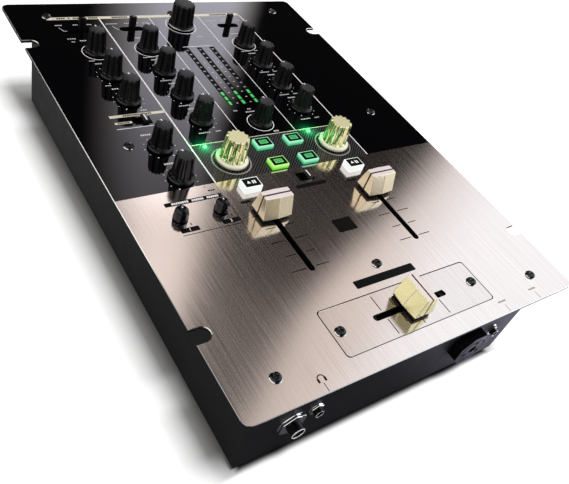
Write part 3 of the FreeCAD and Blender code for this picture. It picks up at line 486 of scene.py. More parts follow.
def slab(bm, low, high, round_off=0.0, segments=3, edges="all"):
    """Add a box between two corners in millimetres, with round edges; returns its vertices."""
    made = bmesh.ops.create_cube(bm, size=1.0)["verts"]
    size = [(b - a) * MM for a, b in zip(low, high)]
    centre = [(a + b) / 2 * MM for a, b in zip(low, high)]
    bmesh.ops.scale(bm, vec=size, verts=made)
    bmesh.ops.translate(bm, vec=centre, verts=made)
    if not round_off:
        return made
    chosen = []
    for edge in {edge for vert in made for edge in vert.link_edges}:
        upright = abs(edge.verts[0].co.z - edge.verts[1].co.z) > 1e-6
        on_top = min(vert.co.z for vert in edge.verts) > centre[2]
        if edges == "all" or (edges == "upright" and upright) or (edges == "upper" and (upright or on_top)):
            chosen.append(edge)
    done = bevel(bm, chosen, round_off, segments)
    return list({vert for face in done for vert in face.verts} | {v for v in made if v.is_valid})


def disc(bm, x, y, low, high, radius, segments=24):
    """Add an upright round plug, in millimetres."""
    made = bmesh.ops.create_cone(bm, cap_ends=True, segments=segments, radius1=radius * MM,
                                 radius2=radius * MM, depth=(high - low) * MM)["verts"]
    bmesh.ops.translate(bm, vec=(x * MM, y * MM, (low + high) / 2 * MM), verts=made)
    return made


def tube(inner, outer, low, high):
    """Closed profile of a square-edged ring."""
    return (inner, low), (outer, low), (outer, high), (inner, high), (inner, low)


def ring(bm, x, y, inner, outer, low, high):
    """Add a flat closed ring about a vertical axis."""
    gather(bm, lathe(tube(inner, outer, low, high), 48), x, y)


def arc_band(bm, x, y, inner, outer, low, high, start, sweep, steps=28):
    """Add a flat curved band about a vertical axis, with angles in degrees from +X."""
    verts = [bm.verts.new((x * MM + radius * MM, y * MM, height * MM))
             for radius, height in ((inner, low), (outer, low), (outer, high), (inner, high))]
    edges = [bm.edges.new((verts[i], verts[(i + 1) % 4])) for i in range(4)]
    centre = (x * MM, y * MM, 0)
    bmesh.ops.rotate(bm, cent=centre, matrix=Matrix.Rotation(math.radians(start), 3, "Z"), verts=verts)
    first_cap = bm.faces.new(verts)
    made = bmesh.ops.spin(bm, geom=verts + edges, cent=centre, axis=(0, 0, 1), dvec=(0, 0, 0),
                          angle=math.radians(sweep), steps=steps, use_merge=False, use_duplicate=False)
    last_edges = [item for item in made["geom_last"] if isinstance(item, bmesh.types.BMEdge)]
    bmesh.ops.contextual_create(bm, geom=last_edges)
    linked = {first_cap}
    queue = [first_cap]
    while queue:
        for edge in queue.pop().edges:
            for face in edge.link_faces:
                if face not in linked:
                    linked.add(face)
                    queue.append(face)
    bmesh.ops.recalc_face_normals(bm, faces=list(linked))


def cut(bm, point, normal):
    """Cut a whole bmesh in two at a plane through a point in millimetres, keeping both sides."""
    bmesh.ops.bisect_plane(bm, geom=bm.verts[:] + bm.edges[:] + bm.faces[:], dist=1e-7,
                           plane_co=Vector(point) * MM, plane_no=normal)


def finish_piece(bm, name, finishes, body, replaced=(), smooth=30.0, at=None):
    """Turn a bmesh into a piece that rides on a body; it is shaded flat where smooth is 0."""
    if at:
        shift(bm, *at)
    mesh = bpy.data.meshes.new(name)
    bm.to_mesh(mesh)
    bm.free()
    if smooth:
        mesh.polygons.foreach_set("use_smooth", [True] * len(mesh.polygons))
        mesh.set_sharp_from_angle(angle=math.radians(smooth))
    piece = bpy.data.objects.new(name, mesh)
    bpy.context.scene.collection.objects.link(piece)
    for item in finishes if isinstance(finishes, list) else [finishes]:
        mesh.materials.append(finish(item))
    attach(piece, body)
    if replaced:
        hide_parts(*replaced)
    return piece


def shift(bm, x, y, z):
    """Move everything in a bmesh by millimetres."""
    bmesh.ops.translate(bm, vec=(x * MM, y * MM, z * MM), verts=bm.verts)


def aim_along_y(bm, direction):
    """Lay an upright shape down so that its top points to the back (1) or the front (-1)."""
    turn = Matrix.Rotation(math.radians(-90.0 * direction), 3, "X")
    bmesh.ops.rotate(bm, cent=(0, 0, 0), matrix=turn, verts=bm.verts)


def node_copy(node):
    """Merged copy of a CAD node's mesh, with its flat areas joined."""
    bm = bmesh.new()
    bm.from_mesh(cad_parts[node].data)
    bmesh.ops.remove_doubles(bm, verts=bm.verts, dist=1e-6)
    bmesh.ops.dissolve_limit(bm, angle_limit=math.radians(0.5), verts=bm.verts, edges=bm.edges)
    return bm


def round_edges(piece, width, segments=2):
    """Round a piece's sharp edges."""
    item = piece.modifiers.new("edge_round", "BEVEL")
    item.width = width
    item.segments = segments
    item.limit_method = "ANGLE"
    item.angle_limit = math.radians(40)
    item.harden_normals = True


def coat_node(node, item):
    """Give a CAD node a finish."""
    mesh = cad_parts[node].data
    mesh.materials.clear()
    mesh.materials.append(finish(item))


def number_mesh(bm, words, place, size):
    """Add plain figures to a bmesh at a placing matrix."""
    curve = bpy.data.curves.new("figures", "FONT")
    curve.body = words
    curve.size = size * MM
    curve.align_x = "CENTER"
    curve.align_y = "CENTER"
    curve.extrude = FIGURE_HALF * MM
    curve.resolution_u = 2
    text = bpy.data.objects.new("figures", curve)
    bpy.context.scene.collection.objects.link(text)
    bpy.context.view_layer.update()
    mesh = bpy.data.meshes.new_from_object(text.evaluated_get(bpy.context.evaluated_depsgraph_get()))
    mesh.transform(place)
    bm.from_mesh(mesh)
    bpy.data.objects.remove(text)
    bpy.data.curves.remove(curve)
    bpy.data.meshes.remove(mesh)


def add_lamp(name, kind, place, mirrored=False, **settings):
    """Lamp at a place in metres; glossy surfaces show it where mirrored."""
    lamp = bpy.data.lights.new(name, kind)
    for label, value in settings.items():
        setattr(lamp, label, value)
    item = bpy.data.objects.new(name, lamp)
    item.location = place
    item.visible_glossy = mirrored
    bpy.context.scene.collection.objects.link(item)
    return item


def bare_edge():
    """Cut edge of the plate, with painted shade that darkens it at the front of the left rim."""
    material = finish("bare_edge_metal")
    tree = material.node_tree
    x, y, _ = separated(tree)
    base = tree.nodes["Principled BSDF"].inputs["Base Color"]
    # Painted shade: the edge's colour is darkened where the front part meets the left rim
    painted_edge_shade = calc(tree, "MAXIMUM", ramp(tree, y, -0.1, -0.07, 0.3, 1.0),
                ramp(tree, x, -0.122, -0.115, 0.3, 1.0))
    feed(tree, base, tinted(tree, painted_edge_shade, base.links[0].from_socket))
    return material


class MixerOperator(bpy.types.Operator):
    """Shared options of the mixer's operators."""
    bl_options = {"REGISTER", "UNDO"}


class MIXER_OT_stage(MixerOperator):
    """Make the floor, the studio round the mixer and the camera"""
    bl_idname = "mixer.stage"
    bl_label = "Stage"

    def execute(self, context):
        stage = context.scene.mixer_stage
        self.make_camera(context, stage)
        self.make_floor(context)
        self.make_room(context, stage)
        self.make_lamps(stage)
        context.scene.view_settings.view_transform = "Standard"
        return {"FINISHED"}

    def make_floor(self, context):
        """White floor whose colour is darkened round the case's foot as a painted shadow; mirrored rays see a
        dark one with two painted glows.
        """
        bm = bmesh.new()
        bmesh.ops.create_grid(bm, x_segments=1, y_segments=1, size=6.0)
        mesh = bpy.data.meshes.new("studio_floor")
        bm.to_mesh(mesh)
        bm.free()
        floor = bpy.data.objects.new("studio_floor", mesh)
        context.scene.collection.objects.link(floor)
        material, tree, shader = new_material("white_sweep", Roughness=0.9, Specular_IOR_Level=0.1,
                                              Emission_Strength=0.25)
        rays = add_node(tree, "ShaderNodeLightPath").outputs
        mirrored = self.seen_rays(tree)
        x, y, _ = separated(tree)
        # Painted shadow: near darkens the floor's colour at the case's sides, in front of it and under it
        near = calc(tree, "MULTIPLY", beside(tree, x, 0.104, 0.122, 0.6), beside(tree, x, 0.103, 0.1085))
        painted_front_shadow = calc(tree, "POWER", ramp(tree, y, -0.176, -0.1701, 1.0, 0.0), 1.5)
        near = calc(tree, "MAXIMUM", near, calc(tree, "MAXIMUM", painted_front_shadow, 0.02), ramp(tree, y, 0.16, 0.18))
        feed(tree, shader["Base Color"],
             blend_colour(tree, mirrored, tinted(tree, near, (0.93, 0.93, 0.93)), (0.07, 0.07, 0.08)))
        # Painted glows, seen only in reflections, that light up the case's left and front walls
        left = calc(tree, "MULTIPLY", ramp(tree, x, -0.113, -0.109, 1.0, 0.0),
                    ramp(tree, y, -0.12, 0.15, 0.27, 0.9))
        right = calc(tree, "MULTIPLY", calc(tree, "POWER", ramp(tree, x, -0.02, 0.14), 2.0), 3.6,
                     ramp(tree, y, -0.174, -0.17, 1.0, 0.0))
        hue = blend_colour(tree, ramp(tree, x, -0.05, 0.05), (1.0, 1.0, 0.97), (0.95, 0.92, 1.2))
        glow = tinted(tree, calc(tree, "ADD", left, right), hue)
        # The camera's white glow is kept off near the case, so the painted shadow shows
        clear = calc(tree, "MAXIMUM", beside(tree, x, 0.106, 0.128),
                     ramp(tree, y, -0.176, -0.1715, 1.0, 0.0), ramp(tree, y, 0.17, 0.2))
        plain = tinted(tree, calc(tree, "MULTIPLY", rays["Is Camera Ray"], clear), (1.0, 1.0, 1.0))
        feed(tree, shader["Emission Color"], blend_colour(tree, mirrored, plain, glow))
        mesh.materials.append(material)

    def seen_rays(self, tree):
        """1 for glossy and transmission rays."""
        rays = add_node(tree, "ShaderNodeLightPath").outputs
        return calc(tree, "MAXIMUM", rays["Is Glossy Ray"], rays["Is Transmission Ray"])

    def make_room(self, context, stage):
        """Dark room with a tall strip behind and a white wall on each side; angles are in degrees."""
        world = bpy.data.worlds.new("studio_room")
        context.scene.world = world
        world.use_nodes = True
        tree = world.node_tree
        x, y, z = separated(tree, "Generated")
        turn = calc(tree, "MULTIPLY", calc(tree, "ARCTAN2", x, y), 180 / math.pi)
        rise = calc(tree, "MULTIPLY", calc(tree, "ARCSINE", z), 180 / math.pi)
        bend = calc(tree, "SUBTRACT", turn, ramp(tree, rise, 38.0, 46.0, 0.0, 1.3))
        strip = calc(tree, "MULTIPLY", band(tree, bend, 22.0, 30.0, 34.5, 38.0),
                     band(tree, rise, 4, 14, 62, 74), ramp(tree, rise, 28.0, 43.0, 1.0, 0.45),
                     ramp(tree, rise, 42.3, 43.5, 1.0, 0.7), ramp(tree, rise, 45.0, 48.5, 1.0, 1.1))
        lean = calc(tree, "ADD", turn, ramp(tree, rise, 30.0, 34.0, -0.8, 0.0),
                    ramp(tree, rise, 32.0, 50.0, 0.0, 5.2))
        wall = calc(tree, "MULTIPLY", ramp(tree, lean, 55.8, 60.8), ramp(tree, turn, 118.0, 165.0, 1.0, 0.0),
                    ramp(tree, turn, 58.0, 67.0, 0.68, 0.98), ramp(tree, rise, 62.0, 72.0, 1.0, 0.0),
                    ramp(tree, rise, 44.0, 50.0, 1.0, 0.84))
        left = calc(tree, "MULTIPLY", band(tree, turn, -155, -140, -42, -33),
                    ramp(tree, rise, 55, 65, 1.0, 0.0))
        ceiling = ramp(tree, rise, 68.0, 80.0, 0.0, 0.45)
        gap = calc(tree, "MULTIPLY", band(tree, turn, 34, 42, 52, 60), band(tree, rise, 34, 39, 60, 70),
                   ramp(tree, rise, 44.0, 51.0, 0.03, 0.12))
        shine = calc(tree, "ADD", stage.dark_room, ceiling, gap,
                     calc(tree, "MULTIPLY", strip, stage.strip_light),
                     calc(tree, "MULTIPLY", wall, stage.wall_light),
                     calc(tree, "MULTIPLY", left, stage.left_light))
        soft_wall = calc(tree, "MULTIPLY", wall, ramp(tree, turn, 95.0, 125.0, 1.0, 0.0), 0.5)
        soft_left = calc(tree, "MULTIPLY", left, ramp(tree, turn, -125.0, -95.0), 0.45)
        soft = calc(tree, "ADD", 0.08, calc(tree, "MULTIPLY", strip, 2.1), soft_wall, soft_left)
        inputs = {"Factor": self.seen_rays(tree), "A": soft, "B": shine}
        light = add_node(tree, "ShaderNodeMix", inputs, data_type="FLOAT").outputs["Result"]
        warm = calc(tree, "MULTIPLY", ramp(tree, bend, 31.0, 36.0), ramp(tree, rise, 37.5, 42.0))
        cool = blend_colour(tree, ramp(tree, rise, 40.5, 44.0), (0.98, 0.965, 1.06), (1.0, 0.99, 0.99))
        strip_hue = blend_colour(tree, warm, cool, (1.06, 0.985, 0.885))
        tone = calc(tree, "SUBTRACT", turn, ramp(tree, rise, 36.0, 48.0, 0.0, 3.0))
        cream = (1.055, 0.972, 0.895)
        wall_hue = blend_colour(tree, ramp(tree, tone, 55.0, 66.0), cream, (0.945, 1.01, 1.05))
        side_hue = blend_colour(tree, ramp(tree, turn, -20.0, 0.0), (1.015, 0.99, 0.955), cream)
        wall_hue = blend_colour(tree, ramp(tree, turn, 20.0, 30.0), side_hue, wall_hue)
        colour = tinted(tree, light, blend_colour(tree, strip, wall_hue, strip_hue))
        rays = add_node(tree, "ShaderNodeLightPath").outputs
        feed(tree, tree.nodes["Background"].inputs["Color"],
             blend_colour(tree, rays["Is Camera Ray"], colour, (1.0, 1.0, 1.0)))

    def make_lamps(self, stage):
        """Wide light above and a small cool one low in front."""
        top = add_lamp("top_light", "AREA", (-0.13, -0.66, 3.0), shape="RECTANGLE",
                       energy=stage.top_light, size=stage.top_width, size_y=stage.top_depth)
        top.rotation_euler = (0.216, -0.043, 0.0)
        front = add_lamp("front_light", "AREA", (0.175, -0.225, 0.05), mirrored=True,
                         energy=stage.front_light, size=0.06, color=(0.9, 0.89, 1.0))
        front.rotation_euler = Vector((0.1, -0.07, 0.01)).to_track_quat("Z", "Y").to_euler()

    def make_camera(self, context, stage):
        data = bpy.data.cameras.new("photo_camera")
        data.sensor_width = 36.0
        data.lens = stage.lens
        data.clip_start = 0.01
        camera = bpy.data.objects.new("photo_camera", data)
        context.scene.collection.objects.link(camera)
        right = Vector((0.81155, -0.51704, 0.27214))
        up = Vector((0.21552, 0.69782, 0.68309))
        back = Vector((-0.54309, -0.49570, 0.67774))
        turn = Matrix((right, up, back)).transposed().to_4x4()
        camera.matrix_world = Matrix.Translation(stage.camera_place) @ turn
        context.scene.camera = camera


def top_edges(bm, inside):
    """Edges between a plate's top and its walls whose middle passes a test in millimetres."""
    chosen = []
    for edge in bm.edges:
        if len(edge.link_faces) != 2 or min(vert.co.z for vert in edge.verts) < (PLATE_TOP - 0.01) * MM:
            continue
        slopes = sorted(abs(face.normal.z) for face in edge.link_faces)
        if slopes[0] < 0.2 and slopes[1] > 0.9 and inside((edge.verts[0].co + edge.verts[1].co) / 2 / MM):
            chosen.append(edge)
    return chosen


def on_rim(place):
    """Whether a place on the faceplate is on its outer edge or in a notch."""
    return abs(place.x) > RIM_X or abs(place.y) > RIM_Y


def in_channel_slot(place):
    """Whether a place is at one of the channel fader slots."""
    return abs(abs(place.x) - FADER_X) < SLOT_REACH and FADER_SLOT_Y[0] < place.y < FADER_SLOT_Y[1]


def in_cross_slot(place):
    """Whether a place is at the crossfader's slot."""
    return abs(place.x) < CROSS_SLOT_X and abs(place.y - CROSSFADER_Y) < SLOT_REACH


def on_cross_rim(place):
    """Whether a place is on the crossfader plate's outer edge."""
    return abs(place.x) > CROSS_RIM[0] or abs(place.y - CROSSFADER_Y) > CROSS_RIM[1]


def lay_grain(bm):
    """UV map whose first direction lies across the brushed grain."""
    layer = bm.loops.layers.uv.new("across_grain")
    for face in bm.faces:
        for loop in face.loops:
            place = loop.vert.co
            loop[layer].uv = (place.x * 4.0 + place.z, place.y * 4.0 + place.z)


class MIXER_OT_faceplate(MixerOperator):
    """Dress the faceplate in gloss black, effect-field texture and brushed metal"""
    bl_idname = "mixer.faceplate"
    bl_label = "Faceplate"

    def execute(self, context):
        sizes = context.scene.mixer_sizes
        bm = node_copy("faceplate")
        cut(bm, (0, FINISH_LINE_Y, 0), (0, 1, 0))
        cut(bm, (0, EFFECT_ZONE_TOP_Y, 0), (0, 1, 0))
        cut(bm, (-EFFECT_ZONE_X, 0, 0), (1, 0, 0))
        cut(bm, (EFFECT_ZONE_X, 0, 0), (1, 0, 0))
        bm.normal_update()
        bevel(bm, top_edges(bm, on_rim), sizes.rim_round / MM, 1)
        bevel(bm, top_edges(bm, in_channel_slot), sizes.slot_round / MM, 1)
        bm.normal_update()
        for face in bm.faces:
            face.material_index = self.finish_of(face)
        lay_grain(bm)
        front = brushed("brushed_front", tuple(context.scene.mixer_finish.brushed_metal))
        finishes = [front, "gloss_black", self.effect_field(sizes), "dark_plastic", bare_edge()]
        finish_piece(bm, "faceplate_skin", finishes, "case", ["faceplate"], smooth=0)
        return {"FINISHED"}

    def finish_of(self, face):
        """Finish of one face: brushed, gloss, effect field, dark side or bare edge; the dark side in the
        slots, holes and rebate is painted shade.
        """
        place = face.calc_center_median() / MM
        slope = face.normal.z
        if 0.1 < slope < 0.97 and on_rim(place):
            return 4
        # Dark walls, underside and rebate floor: painted shade in the slots, holes and rebate
        if slope < 0.97 or place.z < PLATE_TOP - 0.5:
            return 3
        if place.y < FINISH_LINE_Y:
            return 0
        return 2 if abs(place.x) < EFFECT_ZONE_X and place.y < EFFECT_ZONE_TOP_Y else 1

    def effect_field(self, sizes):
        """Black field with a fine diagonal net of paler dots."""
        material, tree, shader = new_material("effect_field", Specular_IOR_Level=0.34, Emission_Strength=1.0)
        x, y, _ = separated(tree)
        pitch = 2 * math.pi / sizes.dot_pitch
        waves = [calc(tree, "SINE", calc(tree, "MULTIPLY", along, pitch)) for along in (x, y)]
        dots = ramp(tree, calc(tree, "MULTIPLY", *waves), 0.05, 0.45)
        feed(tree, shader["Base Color"],
             blend_colour(tree, dots, (0.001, 0.0009, 0.0012), (0.045, 0.041, 0.042)))
        feed(tree, shader["Roughness"], ramp(tree, dots, 0.0, 1.0, 0.24, 0.5))
        feed(tree, shader["Normal"], bump(tree, dots, 0.4, 0.03 * MM))
        feed(tree, shader["Emission Color"], place_group(tree, "status_halo")["Colour"])
        return material


class MIXER_OT_crossfader_plate(MixerOperator):
    """Dress the removable crossfader plate in brushed metal"""
    bl_idname = "mixer.crossfader_plate"
    bl_label = "Crossfader plate"

    def execute(self, context):
        bm = node_copy("crossfader_plate")
        bm.normal_update()
        bevel(bm, top_edges(bm, on_cross_rim), 0.2)
        bevel(bm, top_edges(bm, in_cross_slot), context.scene.mixer_sizes.slot_round / MM, 1)
        bm.normal_update()
        for face in bm.faces:
            # Dark side walls: painted shade of the gap round the plate
            face.material_index = 0 if face.normal.z > 0.1 else 1
        lay_grain(bm)
        metal = brushed("brushed_crossfader", shade(tuple(context.scene.mixer_finish.brushed_metal), 0.93))
        finish_piece(bm, "crossfader_plate_skin", [metal, "dark_plastic"], "case",
                     ["crossfader_plate"], smooth=0)
        return {"FINISHED"}


class MIXER_OT_print(MixerOperator):
    """Print the lines, dial marks, figures and plain label bars on the faceplate"""
    bl_idname = "mixer.print"
    bl_label = "Printed marks"

    def execute(self, context):
        self.height = context.scene.mixer_sizes.print_height / MM
        self.low = PLATE_TOP - PRINT_SINK
        self.high = PLATE_TOP + self.height
        for name, item, draw in (("white_lines", "white_print", self.white_lines),
                                 ("label_dashes", "dim_print", self.label_dashes),
                                 ("header_bars", "champagne_foil", self.header_bars),
                                 ("header_marks", "black_print", self.header_marks),
                                 ("dial_marks", "white_print", self.dial_marks),
                                 ("effect_rings", "grey_print", self.effect_rings),
                                 ("fader_ticks", "black_print", self.fader_ticks),
                                 ("label_bars", "black_print", self.label_bars),
                                 ("label_figures", "white_print", self.label_figures),
                                 ("fine_black_lines", "black_print", self.fine_black_lines),
                                 ("fine_grey_marks", "grey_print", self.fine_grey_marks)):
            bm = bmesh.new()
            draw(bm)
            finish_piece(bm, name, item, "case")
        return {"FINISHED"}

    def bar(self, bm, x0, x1, y0, y1, layer=0):
        """Flat printed bar; a second layer lies on the first."""
        slab(bm, (x0, y0, self.low + layer * self.height), (x1, y1, PLATE_TOP + (1 + layer) * self.height))

    def upright(self, bm, x, half, y0, y1):
        """Printed bar along Y about a place on X."""
        self.bar(bm, x - half, x + half, y0, y1)

    def dashes(self, bm, x0, x1, y, tall=1.2, layer=0):
        """Row of small bars, as a plain stand-in for a label."""
        count = max(1, round((x1 - x0) / 1.45))
        step = (x1 - x0) / count
        for number in range(count):
            start = x0 + number * step
            self.bar(bm, start, start + step * 0.74, y - tall / 2, y + tall / 2, layer)

    def leader(self, bm, *points):
        """Thin line through points, bent at each."""
        half = 0.16
        for (x0, y0), (x1, y1) in zip(points, points[1:]):
            made = slab(bm, (0, -half, self.low), (math.hypot(x1 - x0, y1 - y0), half, self.high))
            turn = Matrix.Rotation(math.atan2(y1 - y0, x1 - x0), 3, "Z")
            bmesh.ops.rotate(bm, cent=(0, 0, 0), matrix=turn, verts=made)
            bmesh.ops.translate(bm, vec=(x0 * MM, y0 * MM, 0), verts=made)

    def white_lines(self, bm):
        self.upright(bm, -EFFECT_ZONE_X, 0.5, FINISH_LINE_Y, DIVIDER_TOP_Y)
        self.upright(bm, EFFECT_ZONE_X, 0.4, FINISH_LINE_Y, DIVIDER_TOP_Y)
        for x in (-INNER_DIVIDER_X, INNER_DIVIDER_X):
            self.upright(bm, x, 0.28, EFFECT_ZONE_TOP_Y, DIVIDER_TOP_Y)
        self.bar(bm, -101.0, -75.6, 28.3, 28.8)
        self.bar(bm, -13.0, 13.0, 114.9, 115.4)
        for x in (-39.0, 46.0):
            self.leader(bm, (x - 17.2, 148.0), (x - 15.0, 143.3), (x - 13.6, 143.3))
        self.leader(bm, (-96.4, 148.0), (-94.4, 143.3), (-92.0, 143.3))

    def label_dashes(self, bm):
        for x in (-FADER_X, FADER_X):
            for y in NAME_ROWS:
                self.dashes(bm, x - 3.4, x + 3.4, y)
            for y in RANGE_ROWS:
                self.dashes(bm, x - 8.2, x + 0.6, y, 1.0)
                self.dashes(bm, x + 4.4, x + 8.6, y, 1.0)
        for y in NAME_ROWS[:3]:
            self.dashes(bm, -87.6, -82.6, y - 0.5)
        for y in RANGE_ROWS[:2]:
            self.dashes(bm, -90.4, -86.2, y - 0.3, 1.0)
        for x0, x1, y in ((-95.4, -89.2, 133.0), (-93.8, -91.2, 129.0), (-98.2, -93.0, 151.2),
                          (-85.2, -81.2, 151.2), (-74.8, -71.0, 151.2), (-60.4, -50.8, 151.2),
                          (-45.4, -33.9, 151.4), (-30.4, -26.0, 151.2), (25.4, 35.0, 151.2),
                          (39.6, 51.1, 151.4), (54.5, 58.9, 151.2), (5.8, 11.4, 128.6),
                          (-78.0, -73.4, 45.0), (-88.8, -81.8, 20.2), (-86.0, -77.0, -8.9),
                          (-4.9, 3.1, 30.2), (-13.4, -10.2, 33.0), (-1.8, 1.4, 33.4),
                          (9.8, 13.0, 33.2), (4.5, 9.1, 6.4)):
            self.dashes(bm, x0, x1, y, 1.5 if y < 25 else 1.1)
        for step in range(9):
            y = 41.2 + 6.4 * step
            for x in (-5.6, 5.6):
                self.upright(bm, x, 0.65, y - 0.4, y + 0.4)

    def header_bars(self, bm):
        """Champagne bars over the inputs and the slide switch, and along the effect field."""
        self.bar(bm, -101.4, 61.8, 158.6, 162.2)
        self.bar(bm, -101.0, -62.6, 39.8, 42.4)
        self.bar(bm, -100.0, -88.5, 33.2, 35.2)
        self.bar(bm, -EFFECT_ZONE_X + 0.5, EFFECT_ZONE_X - 0.4,
                 EFFECT_ZONE_TOP_Y - 0.28, EFFECT_ZONE_TOP_Y + 0.28)

    def header_marks(self, bm):
        """Small dark marks on the champagne bars."""
        for x0, x1 in ((-94.0, -87.6), (-85.6, -84.2), (-82.0, -77.6), (-70.4, -63.0), (-52.0, -39.0),
                       (4.0, 16.0), (34.0, 50.0)):
            self.dashes(bm, x0, x1, 160.4, 2.0, layer=1)
        self.dashes(bm, -92.0, -72.0, 41.1, 1.5, layer=1)
        self.dashes(bm, -98.0, -90.0, 34.2, 1.2, layer=1)

    def dial_marks(self, bm):
        """Rings and dot scales round the knobs."""
        reach = 10.2
        for name in dials():
            x, y, _ = middle(name)
            if "curve" in name or "effect" in name:
                continue
            if ("level" in name and "cue" not in name) or "gain" in name:
                inner = 11.9 if "master" in name else 9.4
                ring(bm, x, y, inner, inner + 0.5, self.low, self.high)
                continue
            for step in range(11):
                angle = math.radians(240.0 - 30.0 * step)
                size = 0.45 if step in (0, 5, 10) else 0.32
                disc(bm, x + reach * math.cos(angle), y + reach * math.sin(angle), self.low, self.high,
                     size, 12)

    def effect_rings(self, bm):
        for name in EFFECT_KNOBS:
            x, y, _ = middle(name)
            ring(bm, x, y, 12.5, 13.4, self.low, self.high)

    def fader_ticks(self, bm):
        for side in (-1.0, 1.0):
            for step, y in enumerate((-64.9, -76.2, -87.4, -98.8, -110.1)):
                reach = 13.1 if step % 2 == 0 else 10.4
                for near, far in ((3.4, reach), (-reach, -3.4)):
                    self.bar(bm, side * FADER_X + near, side * FADER_X + far, y - 0.28, y + 0.28)
        for step, x in enumerate((-20.5, -10.25, 0.0, 10.25, 20.5)):
            reach = 13.4 if step % 2 == 0 else 8.5
            for near, far in ((3.2, reach), (-reach, -3.2)):
                self.upright(bm, x, 0.28, CROSSFADER_Y + near, CROSSFADER_Y + far)

    def label_bars(self, bm):
        for x0, x1, y0, y1 in ((-101.4, -63.8, -43.9, -40.7), (-101.2, -89.6, -65.2, -61.8),
                               (-74.5, -62.9, -65.3, -61.9), (-12.0, 12.0, -50.6, -47.5),
                               (-56.0, -48.9, -53.1, -51.1), (27.6, 35.3, -53.8, -51.8),
                               (-7.3, 7.3, -92.5, -81.7), (-24.5, 22.5, -133.4, -127.9)):
            slab(bm, (x0, y0, self.low), (x1, y1, self.high), round_off=0.7, edges="upright")

    def label_figures(self, bm):
        for x0, x1 in ((-97.0, -86.0), (-84.0, -76.0), (-74.0, -66.0)):
            self.dashes(bm, x0, x1, -42.3, 1.6, layer=1)
        for words, x in (("1", -95.4), ("2", -68.7)):
            place = Matrix.Translation((x * MM, -63.5 * MM, (self.high + FIGURE_HALF) * MM))
            number_mesh(bm, words, place, 3.2)

    def fine_black_lines(self, bm):
        """Lines and ticks of the brushed part, and a plain headphone sign."""
        self.bar(bm, -101.2, -62.4, -67.2, -66.8)
        self.bar(bm, -62.55, -62.25, -67.0, -46.0)
        for x, y0, y1 in ((-79.0, -181.0, -176.0), (-22.0, -46.5, -33.0), (22.0, -46.5, -33.0)):
            self.upright(bm, x, 0.18, y0, y1)
        for x in (-101.0, -93.0, -74.5, -66.5):
            self.upright(bm, x, 0.3, -60.6, -58.8)
        for x0, x1, y in ((-70.4, -65.6, -37.2), (-7.0, -3.0, -36.0)):
            self.dashes(bm, x0, x1, y, 1.1)
        disc(bm, -71.2, -33.6, self.low, self.high, 0.5, 12)
        arc_band(bm, -78.9, -173.4, 1.75, 2.35, self.low, self.high, -20.0, 220.0)
        for x in (-80.95, -76.85):
            self.upright(bm, x, 0.6, -175.4, -173.1)

    def fine_grey_marks(self, bm):
        for x in (61.6, 91.8):
            self.upright(bm, x, 0.18, -181.0, -176.0)
            self.dashes(bm, x - 3.6, x + 3.2, -173.2, 1.1)


class MIXER_OT_case(MixerOperator):
    """Paint the case walls, front panel, bottom cover and rear panel, and finish the feet and case screws"""
    bl_idname = "mixer.case"
    bl_label = "Case"

    def execute(self, context):
        for node in ("case_body", "front_panel", "bottom_cover", "rear_panel"):
            piece = finish_piece(node_copy(node), node + "_skin", "case_powder_coat", "case", [node])
            round_edges(piece, 0.3 * MM)
        coat_node("rubber_feet", "foot_rubber")
        coat_node("case_screws", "blackened_steel")
        return {"FINISHED"}


class MIXER_OT_screws(MixerOperator):
    """Make the round-headed screws of the faceplate and crossfader plate"""
    bl_idname = "mixer.screws"
    bl_label = "Faceplate screws"

    rim = ((3.0, -0.02), (3.45, -0.02), (3.05, 0.35), (3.0, 0.35), (3.0, -0.02))

    def execute(self, context):
        node = "faceplate_screws"
        piece = finish_piece(node_copy(node), node + "_black", "blackened_steel", "case", [node],
                             smooth=45.0)
        round_edges(piece, 0.12 * MM)
        places = [(x, y) for x in (-100.1, 100.1) for y in (163.5, 11.8, -164.3)]
        places += [(0.0, 163.5), (0.0, -121.2), (-52.4, CROSSFADER_Y), (52.4, CROSSFADER_Y)]
        bm = bmesh.new()
        for x, y in places:
            gather(bm, lathe(self.rim, 40), x, y, PLATE_TOP)
        finish_piece(bm, "faceplate_screw_rings", "bright_chrome", "case")
        return {"FINISHED"}


def groove_depth(angle, count, ridge):
    """Depth from 0 on a ridge to 1 in the middle of a round groove."""
    spot = (angle * count / (2 * math.pi)) % 1.0
    from_ridge = min(spot, 1.0 - spot) * 2.0
    if from_ridge < ridge:
        return 0.0
    across = (from_ridge - ridge) / (1.0 - ridge)
    return math.sqrt(max(0.0, 1.0 - (1.0 - across) ** 2))


def fluted(profile, count, depth, ridge, low, inner, columns=8):
    """Turned knob whose flank above a height is cut by round grooves."""
    bm = lathe(profile, count * columns)
    for vert in bm.verts:
        radius = math.hypot(vert.co.x, vert.co.y) / MM
        if vert.co.z / MM < low or radius < inner:
            continue
        angle = math.atan2(vert.co.y, vert.co.x)
        scale = 1.0 - depth * groove_depth(angle, count, ridge) / radius
        vert.co.x *= scale
        vert.co.y *= scale
    bm.normal_update()
    return bm


def mark_top(bm, height):
    """Give the flat top of a knob its second finish."""
    for face in bm.faces:
        if face.normal.z > 0.9 and face.calc_center_median().z > (height - 0.3) * MM:
            face.material_index = 1


